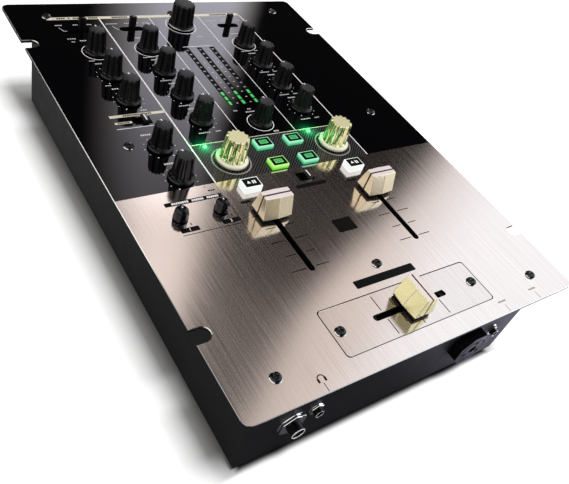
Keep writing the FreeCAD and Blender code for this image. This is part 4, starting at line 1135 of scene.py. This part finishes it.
class MIXER_OT_knobs(MixerOperator):
    """Make the black knobs with their skirts, flutes and white pointers"""
    bl_idname = "mixer.knobs"
    bl_label = "Black knobs"

    plain = ((0, 3.8), (6.3, 3.8), (6.3, 0.8), (8.05, 0.8), (8.3, 1.0), (8.3, 1.75), (8.1, 2.1),
             (7.5, 2.5), (7.0, 2.75), (6.75, 3.1), (6.7, 3.5), (6.66, 3.7), (6.2, 10.0),
             (5.74, 16.9), (5.6, 17.5), (5.3, 17.9), (5.0, 18.0), (0, 18.0))
    large = ((0, 3.8), (6.3, 3.8), (6.3, 0.8), (9.9, 0.8), (10.2, 1.05), (10.2, 2.1), (10.0, 2.5),
             (9.5, 2.85), (9.15, 3.1), (9.1, 3.5), (9.06, 3.8), (8.7, 11.0), (8.42, 18.0), (8.25, 18.8),
             (7.9, 19.25), (7.5, 19.4), (0, 19.4))
    small = ((0, 3.0), (3.2, 3.0), (3.2, 0.8), (4.3, 0.8), (4.5, 1.0), (4.5, 1.5), (4.3, 1.9), (4.35, 3.5),
             (4.3, 5.0), (4.05, 6.2), (3.5, 7.3), (2.7, 8.0), (1.7, 8.35), (0, 8.4))

    def execute(self, context):
        sizes = context.scene.mixer_sizes
        for name in dials():
            if "effect" in name:
                continue
            # The top is rougher, and its lighter colour is painted light falling on it
            finishes = ["knob_plastic", "knob_top_plastic"]
            if "master" in name:
                bm = fluted(self.large, sizes.large_flutes, 1.0, 0.22, 2.9, 7.4)
                reach, top = 8.2, 19.4
                self.skirt_ring(name)
            elif "curve" in name:
                bm = fluted(self.small, 9, 0.3, 0.3, 2.3, 3.3)
                reach, top = 0.0, 8.4
                finishes = ["gloss_plastic", "gloss_plastic"]
            else:
                bm = fluted(self.plain, sizes.knob_flutes, 0.95, 0.22, 2.7, 4.9)
                reach, top = 5.55, 18.0
            mark_top(bm, top)
            finish_piece(bm, name + "_cap", finishes, name, [name], 35.0, at=above(name))
            self.pointer(name, reach, top)
        return {"FINISHED"}

    def pointer(self, name, reach, top):
        """White dot near the middle of a small knob's top, partly a painted highlight, or a white line over
        the rim and down the far flank of a tall one.
        """
        bm = bmesh.new()
        if not reach:
            # The small knob's white dot sits where a highlight falls on its dome: partly a painted highlight
            disc(bm, 0, 0.4, top - 0.2, top + 0.03, 0.45, 20)
        else:
            half = 0.5
            slab(bm, (-half, reach * 0.66, top - 0.3), (half, reach - 0.3, top + 0.03), round_off=0.1,
                 segments=2)
            flank = slab(bm, (-half, -0.35, -6.0), (half, 0.12, 0.0), round_off=0.1, segments=2)
            lean = Matrix.Rotation(math.radians(4.0), 3, "X")
            bmesh.ops.rotate(bm, cent=(0, 0, 0), matrix=lean, verts=flank)
            bmesh.ops.translate(bm, vec=(0, reach * MM, (top - 0.4) * MM), verts=flank)
        finish_piece(bm, name + "_pointer", "white_print", name, at=above(name))

    def skirt_ring(self, name):
        """Satin silver ring on the master knob's skirt."""
        bm = lathe(((9.4, 0.9), (10.45, 0.9), (10.5, 1.1), (10.5, 1.75), (10.35, 1.95), (9.4, 1.95),
                    (9.4, 0.9)), 96)
        finish_piece(bm, name + "_ring", "satin_silver", name, at=above(name))


class MIXER_OT_effect_knobs(MixerOperator):
    """Make the two champagne metal effect knobs"""
    bl_idname = "mixer.effect_knobs"
    bl_label = "Effect knobs"

    profile = ((0, 3.8), (6.3, 3.8), (6.3, 0.8), (10.4, 0.8), (10.75, 1.0), (10.8, 1.4), (10.8, 2.2),
               (10.6, 2.7), (10.1, 3.1), (9.3, 3.3), (8.95, 3.5), (8.85, 4.0), (8.75, 4.7), (8.2, 11.0),
               (7.72, 17.8), (7.62, 18.7), (7.4, 19.2), (7.1, 19.4), (0, 19.4))
    flange = (0.85, 3.45)

    def execute(self, context):
        for name in EFFECT_KNOBS:
            bm = fluted(self.profile, context.scene.mixer_sizes.effect_flutes, 1.15, 0.3, 4.5, 6.7, 12)
            mark_top(bm, self.profile[-1][1])
            # Flange faces take a paler, less metallic copy of the champagne: partly the flange's own colour,
            # partly painted sheen
            for face in bm.faces:
                height = face.calc_center_median().z
                if self.flange[0] * MM < height < self.flange[1] * MM and face.normal.z > -0.5:
                    face.material_index = 2
            finishes = ["champagne_metal", "champagne_satin", "cream_flange"]
            finish_piece(bm, name + "_cap", finishes, name, [name], 32.0, at=above(name))
        return {"FINISHED"}


class MIXER_OT_fader_caps(MixerOperator):
    """Make the three fader caps with a dark core in their groove and a dark plinth under them, partly real
    parts and partly painted shade
    """
    bl_idname = "mixer.fader_caps"
    bl_label = "Fader caps"

    half_width = (10.3, 9.8)
    half_length = (7.3, 3.6)
    bottom = 2.6
    top = 16.0
    groove = 0.5
    edge = 0.4
    crease = 1.0

    def execute(self, context):
        for name, turn, slope in (("channel_1_fader", 0.0, "cap_metal_paint"),
                                  ("channel_2_fader", 0.0, "cap_metal_paint"),
                                  ("crossfader", 90.0, "cap_yellow_paint")):
            x, y, _ = middle(name + "_cap")
            place = Matrix.Translation((x * MM, y * MM, PLATE_TOP * MM))
            place = place @ Matrix.Rotation(math.radians(turn), 4, "Z")
            bm = self.shell()
            bmesh.ops.transform(bm, matrix=place, verts=bm.verts)
            piece = finish_piece(bm, name + "_cap_shell", [slope, "cap_pale_paint"], name,
                                 [name + "_cap"], smooth=2.0)
            round_edges(piece, self.edge * MM, 3)
            bm = bmesh.new()
            for side in (-1.0, 1.0):
                self.slope_line(bm, side)
            bmesh.ops.transform(bm, matrix=place, verts=bm.verts)
            finish_piece(bm, name + "_cap_lines", "cap_line_paint", name)
            bm = bmesh.new()
            # Dark core in the groove and dark plinth under the cap: partly real parts, partly painted shade
            # in the groove and the gap under the cap
            slab(bm, (-9.65, -0.6, 2.2), (9.65, 0.6, 15.8), round_off=0.1, segments=2)
            slab(bm, (-9.6, -6.7, 0.6), (9.6, 6.7, 2.7), round_off=0.25, segments=2)
            bmesh.ops.transform(bm, matrix=place, verts=bm.verts)
            finish_piece(bm, name + "_cap_core", "dark_plastic", name)
        return {"FINISHED"}

    def drop(self, vert):
        """How far a vertex is below the top: 0 at the top, 1 at the bottom."""
        return (self.top - vert.co.z / MM) / (self.top - self.bottom)

    def bulge(self, drop):
        """How far the crease stands out of a slope."""
        return self.crease * (0.4 + 0.6 * drop)

    def slope_line(self, bm, side):
        """Raised line down the middle of a slope."""
        for vert in slab(bm, (-0.35, 0, self.bottom + 0.5), (0.35, 1, self.top - 0.6)):
            drop = self.drop(vert)
            reach = self.half_length[1] + (self.half_length[0] - self.half_length[1]) * drop
            reach += self.bulge(drop)
            vert.co.y = side * (reach + (0.22 if vert.co.y > 0.5 * MM else -0.6)) * MM
        bmesh.ops.recalc_face_normals(bm, faces=bm.faces)

    def shell(self):
        """Both halves of the wedge, with a crease down the middle of each slope, and a top in a paler, less
        metallic copy of the paint that is painted light.
        """
        bm = bmesh.new()
        for vert in slab(bm, (-1, 0, self.bottom), (1, 1, self.top)):
            level = 1 if vert.co.z > 0.5 * (self.bottom + self.top) * MM else 0
            vert.co.x = math.copysign(self.half_width[level] * MM, vert.co.x)
            vert.co.y = (self.half_length[level] if vert.co.y > 0.5 * MM else self.groove) * MM
        cut(bm, (0, 0, 0), (1, 0, 0))
        for vert in bm.verts:
            if abs(vert.co.x) < 1e-7 and vert.co.y > 2.0 * MM:
                vert.co.y += self.bulge(self.drop(vert)) * MM
        copy = bmesh.ops.duplicate(bm, geom=bm.verts[:] + bm.edges[:] + bm.faces[:])["geom"]
        verts = [item for item in copy if isinstance(item, bmesh.types.BMVert)]
        bmesh.ops.scale(bm, vec=(1, -1, 1), verts=verts)
        bmesh.ops.recalc_face_normals(bm, faces=bm.faces)
        for face in bm.faces:
            # Upward faces take the paler copy of the paint: painted light on the top
            face.material_index = 1 if face.normal.z > 0.9 else 0
        return bm


class MIXER_OT_buttons(MixerOperator):
    """Make the lit effect and cue buttons with their dark frames and lit panels"""
    bl_idname = "mixer.buttons"
    bl_label = "Lit buttons"

    lip = 0.8
    edge = 0.8
    foot = -3.1
    effect_height = 3.0
    cue_height = 4.6
    switched_on = 3

    def execute(self, context):
        colours = context.scene.mixer_finish
        low, high = PLATE_TOP + 0.2, PLATE_TOP + 2.6
        mint = (glowing("mint_lens", (0.05, 0.5, 0.2), tuple(colours.mint), 0.8, low, high),
                glowing("mint_panel", (0.07, 0.46, 0.15), (0.08, 0.5, 0.16), 0.85, low, high))
        lime = (glowing("lime_lens", (0.15, 0.75, 0.05), tuple(colours.lime), 0.8, low, high),
                glowing("lime_panel", (0.1, 0.5, 0.12), (0.11, 0.54, 0.13), 0.85, low, high))
        for number in range(1, 5):
            name = "effect_button_%d" % number
            lens, panel = lime if number == self.switched_on else mint
            self.lens(name, lens, self.effect_height, "effect_buttons")
            self.lit_panel(name, panel, self.effect_height)
        white_lens = glowing("white_lens", (0.9, 0.94, 0.9), (0.88, 0.91, 0.89), 0.85, low, high + 2.0)
        for number in (1, 2):
            name = "cue_button_%d" % number
            self.lens(name, white_lens, self.cue_height, "cue_buttons")
            self.play_mark(name, white_lens, self.cue_height)
        return {"FINISHED"}

    def plate(self, bm, name, grow, low, high, **rounding):
        """Slab as large as a button's visible top, or larger by a margin on each axis."""
        box_low, box_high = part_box(name)
        x, y = [(box_high[axis] - box_low[axis]) / 2 / MM - self.lip + grow[axis] for axis in (0, 1)]
        slab(bm, (-x, -y, low), (x, y, high), **rounding)

    def lens(self, name, lens, height, slot):
        """Lit lens with its hidden lip and stem, and the black frame on its top."""
        bm = bmesh.new()
        self.plate(bm, name, (0, 0), self.foot, height, round_off=0.5, segments=4, edges="upper")
        self.plate(bm, name, (self.lip, self.lip), self.foot, self.foot + 1.0)
        slab(bm, (-1.75, -1.75, -8.2), (1.75, 1.75, self.foot))
        finish_piece(bm, name + "_lens", lens, name, [name], at=above(name))
        bm = bmesh.new()
        self.plate(bm, name, (-self.edge, -self.edge), height - 0.3, height + 0.05, round_off=0.5,
                   edges="upright")
        finish_piece(bm, name + "_frame", "black_print", name, at=above(name))

    def lit_panel(self, name, panel, height):
        """Lit panel in the frame, with rows of small dark marks."""
        bm = bmesh.new()
        self.plate(bm, name, (-3.1, -2.6), height, height + 0.09, round_off=0.3, edges="upright")
        finish_piece(bm, name + "_panel", panel, name, at=above(name))
        bm = bmesh.new()
        for row, count in ((0.7, 5), (-0.7, 4)):
            for step in range(count):
                left = (step - count / 2) * 1.1
                slab(bm, (left + 0.2, row - 0.32, height + 0.05), (left + 0.85, row + 0.32, height + 0.12))
        finish_piece(bm, name + "_marks", "black_print", name, at=above(name))

    def play_mark(self, name, white, height):
        """White triangle with two upright bars."""
        bm = bmesh.new()
        made = disc(bm, 0, 0, -0.05, 0.05, 1.5, 3)
        bmesh.ops.translate(bm, vec=(-2.0 * MM, 0, (height + 0.05) * MM), verts=made)
        for left in (0.6, 2.1):
            slab(bm, (left, -1.3, height), (left + 0.9, 1.3, height + 0.1))
        finish_piece(bm, name + "_mark", white, name, at=above(name))


class MIXER_OT_levers(MixerOperator):
    """Make the input levers, slide switch knobs and power rocker"""
    bl_idname = "mixer.levers"
    bl_label = "Levers and slide switches"

    pivot = -20.0
    blade_top = 10.6
    rocker_place = (85.5 * MM, 166.5 * MM, 46.0 * MM)

    def execute(self, context):
        for name in ("mic_input_lever", "channel_1_input_lever", "channel_2_input_lever"):
            self.lever(name)
        for name in ("left_slide_switch_knob", "centre_slide_switch_knob"):
            bm = bmesh.new()
            slab(bm, (-2.2, -3.4, -4.0), (2.2, 3.4, 2.6), round_off=0.5, edges="upper")
            finish_piece(bm, name + "_block", "knob_plastic", name, [name], at=above(name))
            bm = bmesh.new()
            slab(bm, (-0.45, -2.9, 2.4), (0.45, 2.9, 2.66), round_off=0.15, segments=2)
            finish_piece(bm, name + "_line", "white_print", name, at=above(name))
        self.rocker()
        return {"FINISHED"}

    def lever(self, name):
        """Paddle that flares to its top, on a hub with a cross pin."""
        bm = bmesh.new()
        blade = slab(bm, (-2.1, -1.5, self.pivot), (2.1, 1.5, self.blade_top), round_off=0.9, segments=4,
                     edges="upper")
        for vert in blade:
            vert.co.x *= 1.0 + 0.36 * max(0.0, vert.co.z / MM) / self.blade_top
        for radius, half in ((3.0, 3.0), (1.5, 5.1)):
            made = disc(bm, 0, 0, -half, half, radius, 32)
            bmesh.ops.rotate(bm, cent=(0, 0, 0), matrix=Matrix.Rotation(math.radians(90), 3, "X"), verts=made)
            bmesh.ops.translate(bm, vec=(0, 0, self.pivot * MM), verts=made)
        finish_piece(bm, name + "_blade", "gloss_plastic", name, [name], at=above(name))

    def rocker(self):
        """Rounded power rocker with a bar and a ring on its two faces."""
        name = "power_rocker"
        piece = finish_piece(node_copy(name), name + "_cap", "rocker_plastic", name, [name])
        round_edges(piece, 0.35 * MM)
        axis = Matrix.Translation(self.rocker_place) @ Matrix.Rotation(math.radians(8.0), 4, "X")
        slope = math.atan2(1.4, 6.4)
        bm = bmesh.new()
        mark = slab(bm, (-0.25, -0.2, -1.2), (0.25, 0.05, 1.2))
        face = Matrix.Translation((0, 3.9 * MM, 3.2 * MM)) @ Matrix.Rotation(-slope, 4, "X")
        bmesh.ops.transform(bm, matrix=axis @ face, verts=mark)
        loop = lathe(tube(0.9, 1.3, -0.2, 0.05), 32)
        aim_along_y(loop, 1)
        face = Matrix.Translation((0, 3.9 * MM, -3.2 * MM)) @ Matrix.Rotation(slope, 4, "X")
        bmesh.ops.transform(loop, matrix=axis @ face, verts=loop.verts)
        gather(bm, loop)
        finish_piece(bm, name + "_marks", "white_print", name)


class MIXER_OT_lights(MixerOperator):
    """Make the level meter segments and the status lights"""
    bl_idname = "mixer.lights"
    bl_label = "Meters and lights"

    columns = (-11.0, 0.0, 11.0)

    def execute(self, context):
        sizes = context.scene.mixer_sizes
        green = tuple(context.scene.mixer_finish.led_green)
        coat_node("level_meter_bars", "meter_bed")
        lit = glowing("meter_on", green, shade(green, 0.6), 0.5, PLATE_TOP - 1.0, PLATE_TOP + 1.0)
        self.segments("meter_lit", lit, 1.1, 2.1, range(sizes.lit_segments), sizes)
        unlit = range(sizes.lit_segments, sizes.meter_segments)
        self.segments("meter_unlit", "meter_off", 1.0, 0.7, unlit, sizes)
        lens = glowing("status_lens", (0.12, 0.9, 0.25), (0.3, 1.0, 0.42), 1.3, PLATE_TOP, PLATE_TOP + 1.5)
        coat_node("status_leds", lens)
        for number, (x, y) in enumerate(STATUS_LIGHTS, 1):
            add_lamp("status_glow_%d" % number, "POINT", (x * MM, y * MM, (PLATE_TOP + 5.0) * MM),
                     color=(0.03, 1.0, 0.2), energy=0.012, shadow_soft_size=1.2 * MM)
        return {"FINISHED"}

    def segments(self, name, item, half_x, half_y, steps, sizes):
        """Some segments of each meter, as one piece."""
        low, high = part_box("level_meter_bars")
        pitch = (high[1] - low[1]) / MM / sizes.meter_segments
        bm = bmesh.new()
        for x in self.columns:
            for step in steps:
                y = low[1] / MM + pitch * (step + 0.5)
                slab(bm, (x - half_x, y - half_y, PLATE_TOP - 0.3),
                     (x + half_x, y + half_y, PLATE_TOP - 0.08), round_off=0.1, segments=1)
        finish_piece(bm, name, item, "case")


class MIXER_OT_front_sockets(MixerOperator):
    """Make the phone jacks with their nuts, and the microphone socket"""
    bl_idname = "mixer.front_sockets"
    bl_label = "Jacks and microphone socket"

    large = {"barrel": 4.5, "bore": 3.2, "nose": 7.3, "flats": 15.5, "nut": 2.2, "body": (8.0, 26.0),
             "ring": 0.3}
    small = {"barrel": 3.0, "bore": 1.8, "nose": 4.2, "flats": 8.0, "nut": 1.6, "body": (4.5, 12.0),
             "ring": 0.12}

    def execute(self, context):
        places = [(self.large, -80.0, 33.1, -1), (self.small, -65.0, 37.6, -1), (self.small, 85.0, 36.6, -1)]
        places += [(self.large, x, z, 1) for x in (-84.0, -66.0) for z in (27.5, 44.2)]
        for word, maker, item in (("barrels", self.barrel, "gloss_plastic"),
                                  ("nuts", self.nut, "bright_chrome"),
                                  ("mouths", self.mouth, "plated_ring"),
                                  ("bodies", self.body, "dark_plastic")):
            bm = bmesh.new()
            for sizes, x, z, direction in places:
                part = maker(sizes)
                aim_along_y(part, direction)
                gather(bm, part, x, CASE_FRONT if direction < 0 else PANEL_FACE, z)
            replaced = ["phone_jacks"] if word == "barrels" else []
            finish_piece(bm, "phone_jack_" + word, item, "case", replaced)
        self.mic_socket()
        return {"FINISHED"}

    def barrel(self, sizes):
        """Threaded barrel, closed at the foot of its bore."""
        outer, bore, nose = sizes["barrel"], sizes["bore"], sizes["nose"]
        profile = [(0, -11.0), (bore, -11.0), (bore, nose - 0.4), (bore + 0.3, nose), (outer - 0.4, nose),
                   (outer, nose - 0.4)]
        height = nose - 0.6
        while height > sizes["nut"]:
            profile += [(outer - 0.25, height - 0.25), (outer, height - 0.5)]
            height -= 0.5
        profile += [(outer, -1.3), (bore + 0.5, -1.3), (bore + 0.5, -11.6), (0, -11.6)]
        return lathe(profile, 48)

    def nut(self, sizes):
        """Hexagonal nut with turned-off corners on a thin washer, and the contact sleeve in the bore."""
        bm = bmesh.new()
        corner = sizes["flats"] / math.sqrt(3.0)
        low = 0.4
        disc(bm, 0, 0, low, sizes["nut"], corner, 6)
        upper = [edge for edge in bm.edges if all(vert.co.z > low * 2 * MM for vert in edge.verts)]
        bevel(bm, upper, 0.45, 2)
        gather(bm, lathe(((sizes["barrel"], 0.0), (corner, 0.0), (corner, 0.25), (corner - 0.15, low),
                          (sizes["barrel"], low), (sizes["barrel"], 0.0)), 48))
        bore, nose = sizes["bore"], sizes["nose"]
        gather(bm, lathe(((bore - 0.35, nose - 3.0), (bore + 0.1, nose - 3.0), (bore + 0.1, nose - 1.0),
                          (bore - 0.2, nose - 1.15), (bore - 0.35, nose - 3.0)), 48))
        return bm

    def mouth(self, sizes):
        """Round plated ring on the end of a jack."""
        nose, half = sizes["nose"], sizes["ring"]
        radius = sizes["barrel"] - half - 0.15
        turns = [math.radians(degrees) for degrees in range(0, 361, 30)]
        return lathe([(radius + half * math.cos(turn), nose + half * math.sin(turn)) for turn in turns], 48)

    def body(self, sizes):
        """Housing of a jack behind the wall."""
        half, length = sizes["body"]
        bm = bmesh.new()
        slab(bm, (-half, -half, -1.2 - length), (half, half, -1.25), round_off=0.5)
        return bm

    def mic_socket(self):
        """Eight-sided socket with a grey ring line and bright pin sleeves."""
        node = "mic_socket"
        piece = finish_piece(node_copy(node), node + "_shell", "socket_black", "case",
                             [node])
        round_edges(piece, 0.5 * MM, 3)
        nose = 7.0
        pin_circle = 6.7
        bm = lathe(tube(9.25, 9.95, nose - 1.3, nose - 0.7), 64)
        for degrees in (90.0, 210.0, 330.0):
            turn = math.radians(degrees)
            sleeve = lathe(tube(1.0, 1.4, nose - 4.0, nose - 0.9), 20)
            gather(bm, sleeve, pin_circle * math.cos(turn), pin_circle * math.sin(turn))
        aim_along_y(bm, -1)
        finish_piece(bm, node + "_contacts", "socket_grey_metal", "case",
                     at=(59.5, CASE_FRONT, 35.6))


class MIXER_OT_rear_sockets(MixerOperator):
    """Make the sockets, ground post and printed marks of the rear panel"""
    bl_idname = "mixer.rear_sockets"
    bl_label = "Rear sockets"

    rows = (27.5, 44.2)

    def execute(self, context):
        self.phono_sockets()
        self.ground_post()
        self.data_socket()
        self.power_inlet()
        self.panel_marks(context)
        return {"FINISHED"}

    def columns(self):
        """Places of the six pairs of phono sockets along X."""
        return [-24.0 + 18.0 * step for step in range(6)]

    def phono_sockets(self):
        shell = ((3.4, -1.1), (4.15, -1.1), (4.15, 9.2), (3.95, 9.5), (3.55, 9.5), (3.4, 9.3), (3.4, -1.1))
        plug = ((0, -0.4), (1.65, -0.4), (1.65, 9.0), (1.8, 9.15), (3.45, 9.15), (3.45, -1.1), (0, -1.1))
        collar = ((4.1, 0.0), (5.3, 0.0), (5.3, 0.7), (5.1, 0.9), (4.1, 0.9), (4.1, 0.0))
        self.at_sockets("rca_shells", "gold_plate", self.rows, (shell,), ["rca_sockets"])
        self.at_sockets("rca_red_insulators", "red_insulator", self.rows[:1], (plug, collar))
        self.at_sockets("rca_white_insulators", "white_insulator", self.rows[1:], (plug, collar))
        bm = bmesh.new()
        half, back, face = 5.5, PANEL_FACE - 11.2, PANEL_FACE - 1.25
        for x in self.columns():
            for z in self.rows:
                slab(bm, (x - half, back, z - half), (x + half, face, z + half), round_off=0.4, segments=2)
        finish_piece(bm, "rca_housings", "dark_plastic", "case")

    def at_sockets(self, name, item, rows, profiles, replaced=()):
        """The same turned shapes at each phono socket of some rows."""
        bm = bmesh.new()
        for x in self.columns():
            for z in rows:
                for profile in profiles:
                    part = lathe(profile, 32)
                    aim_along_y(part, 1)
                    gather(bm, part, x, PANEL_FACE, z)
        finish_piece(bm, name, item, "case", replaced)

    def ground_post(self):
        """Threaded stud with a knurled thumb nut and a washer."""
        bm = bmesh.new()
        stud = [(0, -6.0), (2.0, -6.0), (2.0, 8.2)]
        for step in range(4):
            stud += [(1.8, 8.4 + 0.4 * step), (2.0, 8.6 + 0.4 * step)]
        gather(bm, lathe(stud + [(1.7, 10.0), (0, 10.0)], 32))
        gather(bm, lathe(((2.0, 0.0), (5.0, 0.0), (5.0, 1.0), (4.8, 1.2), (2.0, 1.2), (2.0, 0.0)), 32))
        grip = ((0, 2.0), (4.1, 2.0), (4.45, 2.3), (4.6, 2.6), (4.6, 7.4), (4.45, 7.7), (4.1, 8.0), (0, 8.0))
        gather(bm, fluted(grip, 24, 0.22, 0.4, 2.2, 4.2, 6))
        aim_along_y(bm, 1)
        finish_piece(bm, "ground_post", "bright_chrome", "case", ["ground_terminal"],
                     at=(-42.0, PANEL_FACE, self.rows[1]))

    def two_toned(self, node, finishes, slot, is_second):
        """Copy of a socket's CAD node whose faces that pass a test have the second finish."""
        bm = node_copy(node)
        x, _, z = middle(node)
        for face in bm.faces:
            place = face.calc_center_median() / MM
            face.material_index = 1 if is_second(place.x - x, place.y, place.z - z) else 0
        return finish_piece(bm, node + "_shell", finishes, "case", [node])

    def data_socket(self):
        """Bright shell with a pale tongue."""
        piece = self.two_toned("usb_socket", ["bright_chrome", "tongue_plastic"], "usb_metal",
                               lambda x, y, z: abs(x) < 2.9 and abs(z) < 1.7)
        round_edges(piece, 0.25 * MM)

    def power_inlet(self):
        """Black shell with a bright pin."""
        piece = self.two_toned("power_inlet", ["gloss_plastic", "bright_chrome"], "socket_plastic",
                               lambda x, y, z: math.hypot(x, z) < 1.3 and y > PANEL_FACE - 8)
        round_edges(piece, 0.2 * MM)

    def panel_marks(self, context):
        """White frames round the pairs of sockets, with plain figures above them."""
        lift = context.scene.mixer_sizes.print_height / MM
        margin = 7.6
        bm = bmesh.new()
        low, high = self.rows[0] - margin, self.rows[1] + margin
        for first, last in ((-24.0, -24.0), (-6.0, 12.0), (30.0, 48.0), (66.0, 66.0)):
            self.frame(bm, first - margin, last + margin, low, high, lift)
        self.frame(bm, -92.5, -57.5, 18.2, 53.5, lift)
        face = Matrix.Rotation(math.pi, 4, "Z") @ Matrix.Rotation(math.pi / 2, 4, "X")
        for number, x in enumerate(self.columns(), 1):
            place = Matrix.Translation((x * MM, (PANEL_FACE + 0.02) * MM, (high + 3.2) * MM)) @ face
            number_mesh(bm, str(number), place, 4.0)
        finish_piece(bm, "rear_marks", "white_print", "case")

    def frame(self, bm, left, right, low, high, lift):
        """Thin printed rectangle on the rear panel."""
        thin = 0.4
        near, far = PANEL_FACE - PRINT_SINK, PANEL_FACE + lift
        for z in (low, high):
            slab(bm, (left, near, z - thin / 2), (right, far, z + thin / 2))
        for x in (left, right):
            slab(bm, (x - thin / 2, near, low), (x + thin / 2, far, high))


class MIXER_OT_inside(MixerOperator):
    """Finish the boards, potentiometers, fader frames and switch bodies inside"""
    bl_idname = "mixer.inside"
    bl_label = "Inner parts"

    def execute(self, context):
        coat_node("circuit_boards", "board_lacquer")
        coat_node("board_standoffs", "zinc_steel")
        coat_node("potentiometer_nuts", "bright_chrome")
        for node in ("fader_frames", "channel_1_fader_carriage", "channel_2_fader_carriage",
                     "crossfader_carriage", "potentiometers", "switch_bodies"):
            coat_node(node, "dark_plastic")
        return {"FINISHED"}


OPERATORS = (MIXER_OT_stage, MIXER_OT_faceplate, MIXER_OT_crossfader_plate, MIXER_OT_print, MIXER_OT_case,
             MIXER_OT_screws, MIXER_OT_knobs, MIXER_OT_effect_knobs, MIXER_OT_fader_caps, MIXER_OT_buttons,
             MIXER_OT_levers, MIXER_OT_lights, MIXER_OT_front_sockets, MIXER_OT_rear_sockets, MIXER_OT_inside)


class MIXER_PT_panel(bpy.types.Panel):
    """Sidebar panel that lists the mixer's operators"""
    bl_idname = "MIXER_PT_panel"
    bl_label = "Mixer"
    bl_space_type = "VIEW_3D"
    bl_region_type = "UI"
    bl_category = "Mixer"

    def draw(self, context):
        for item in OPERATORS:
            self.layout.operator(item.bl_idname)


GROUPS = (MixerFinish, MixerSizes, MixerStage)


def register():
    for item in GROUPS + OPERATORS + (MIXER_PT_panel,):
        bpy.utils.register_class(item)
    bpy.types.Scene.mixer_finish = PointerProperty(type=MixerFinish)
    bpy.types.Scene.mixer_sizes = PointerProperty(type=MixerSizes)
    bpy.types.Scene.mixer_stage = PointerProperty(type=MixerStage)


def unregister():
    del bpy.types.Scene.mixer_stage
    del bpy.types.Scene.mixer_sizes
    del bpy.types.Scene.mixer_finish
    for item in reversed(GROUPS + OPERATORS + (MIXER_PT_panel,)):
        bpy.utils.unregister_class(item)


def main():
    """Register the add-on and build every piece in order."""
    register()
    for item in OPERATORS:
        group, name = item.bl_idname.split(".")
        getattr(getattr(bpy.ops, group), name)()


if __name__ == "__main__":
    main()
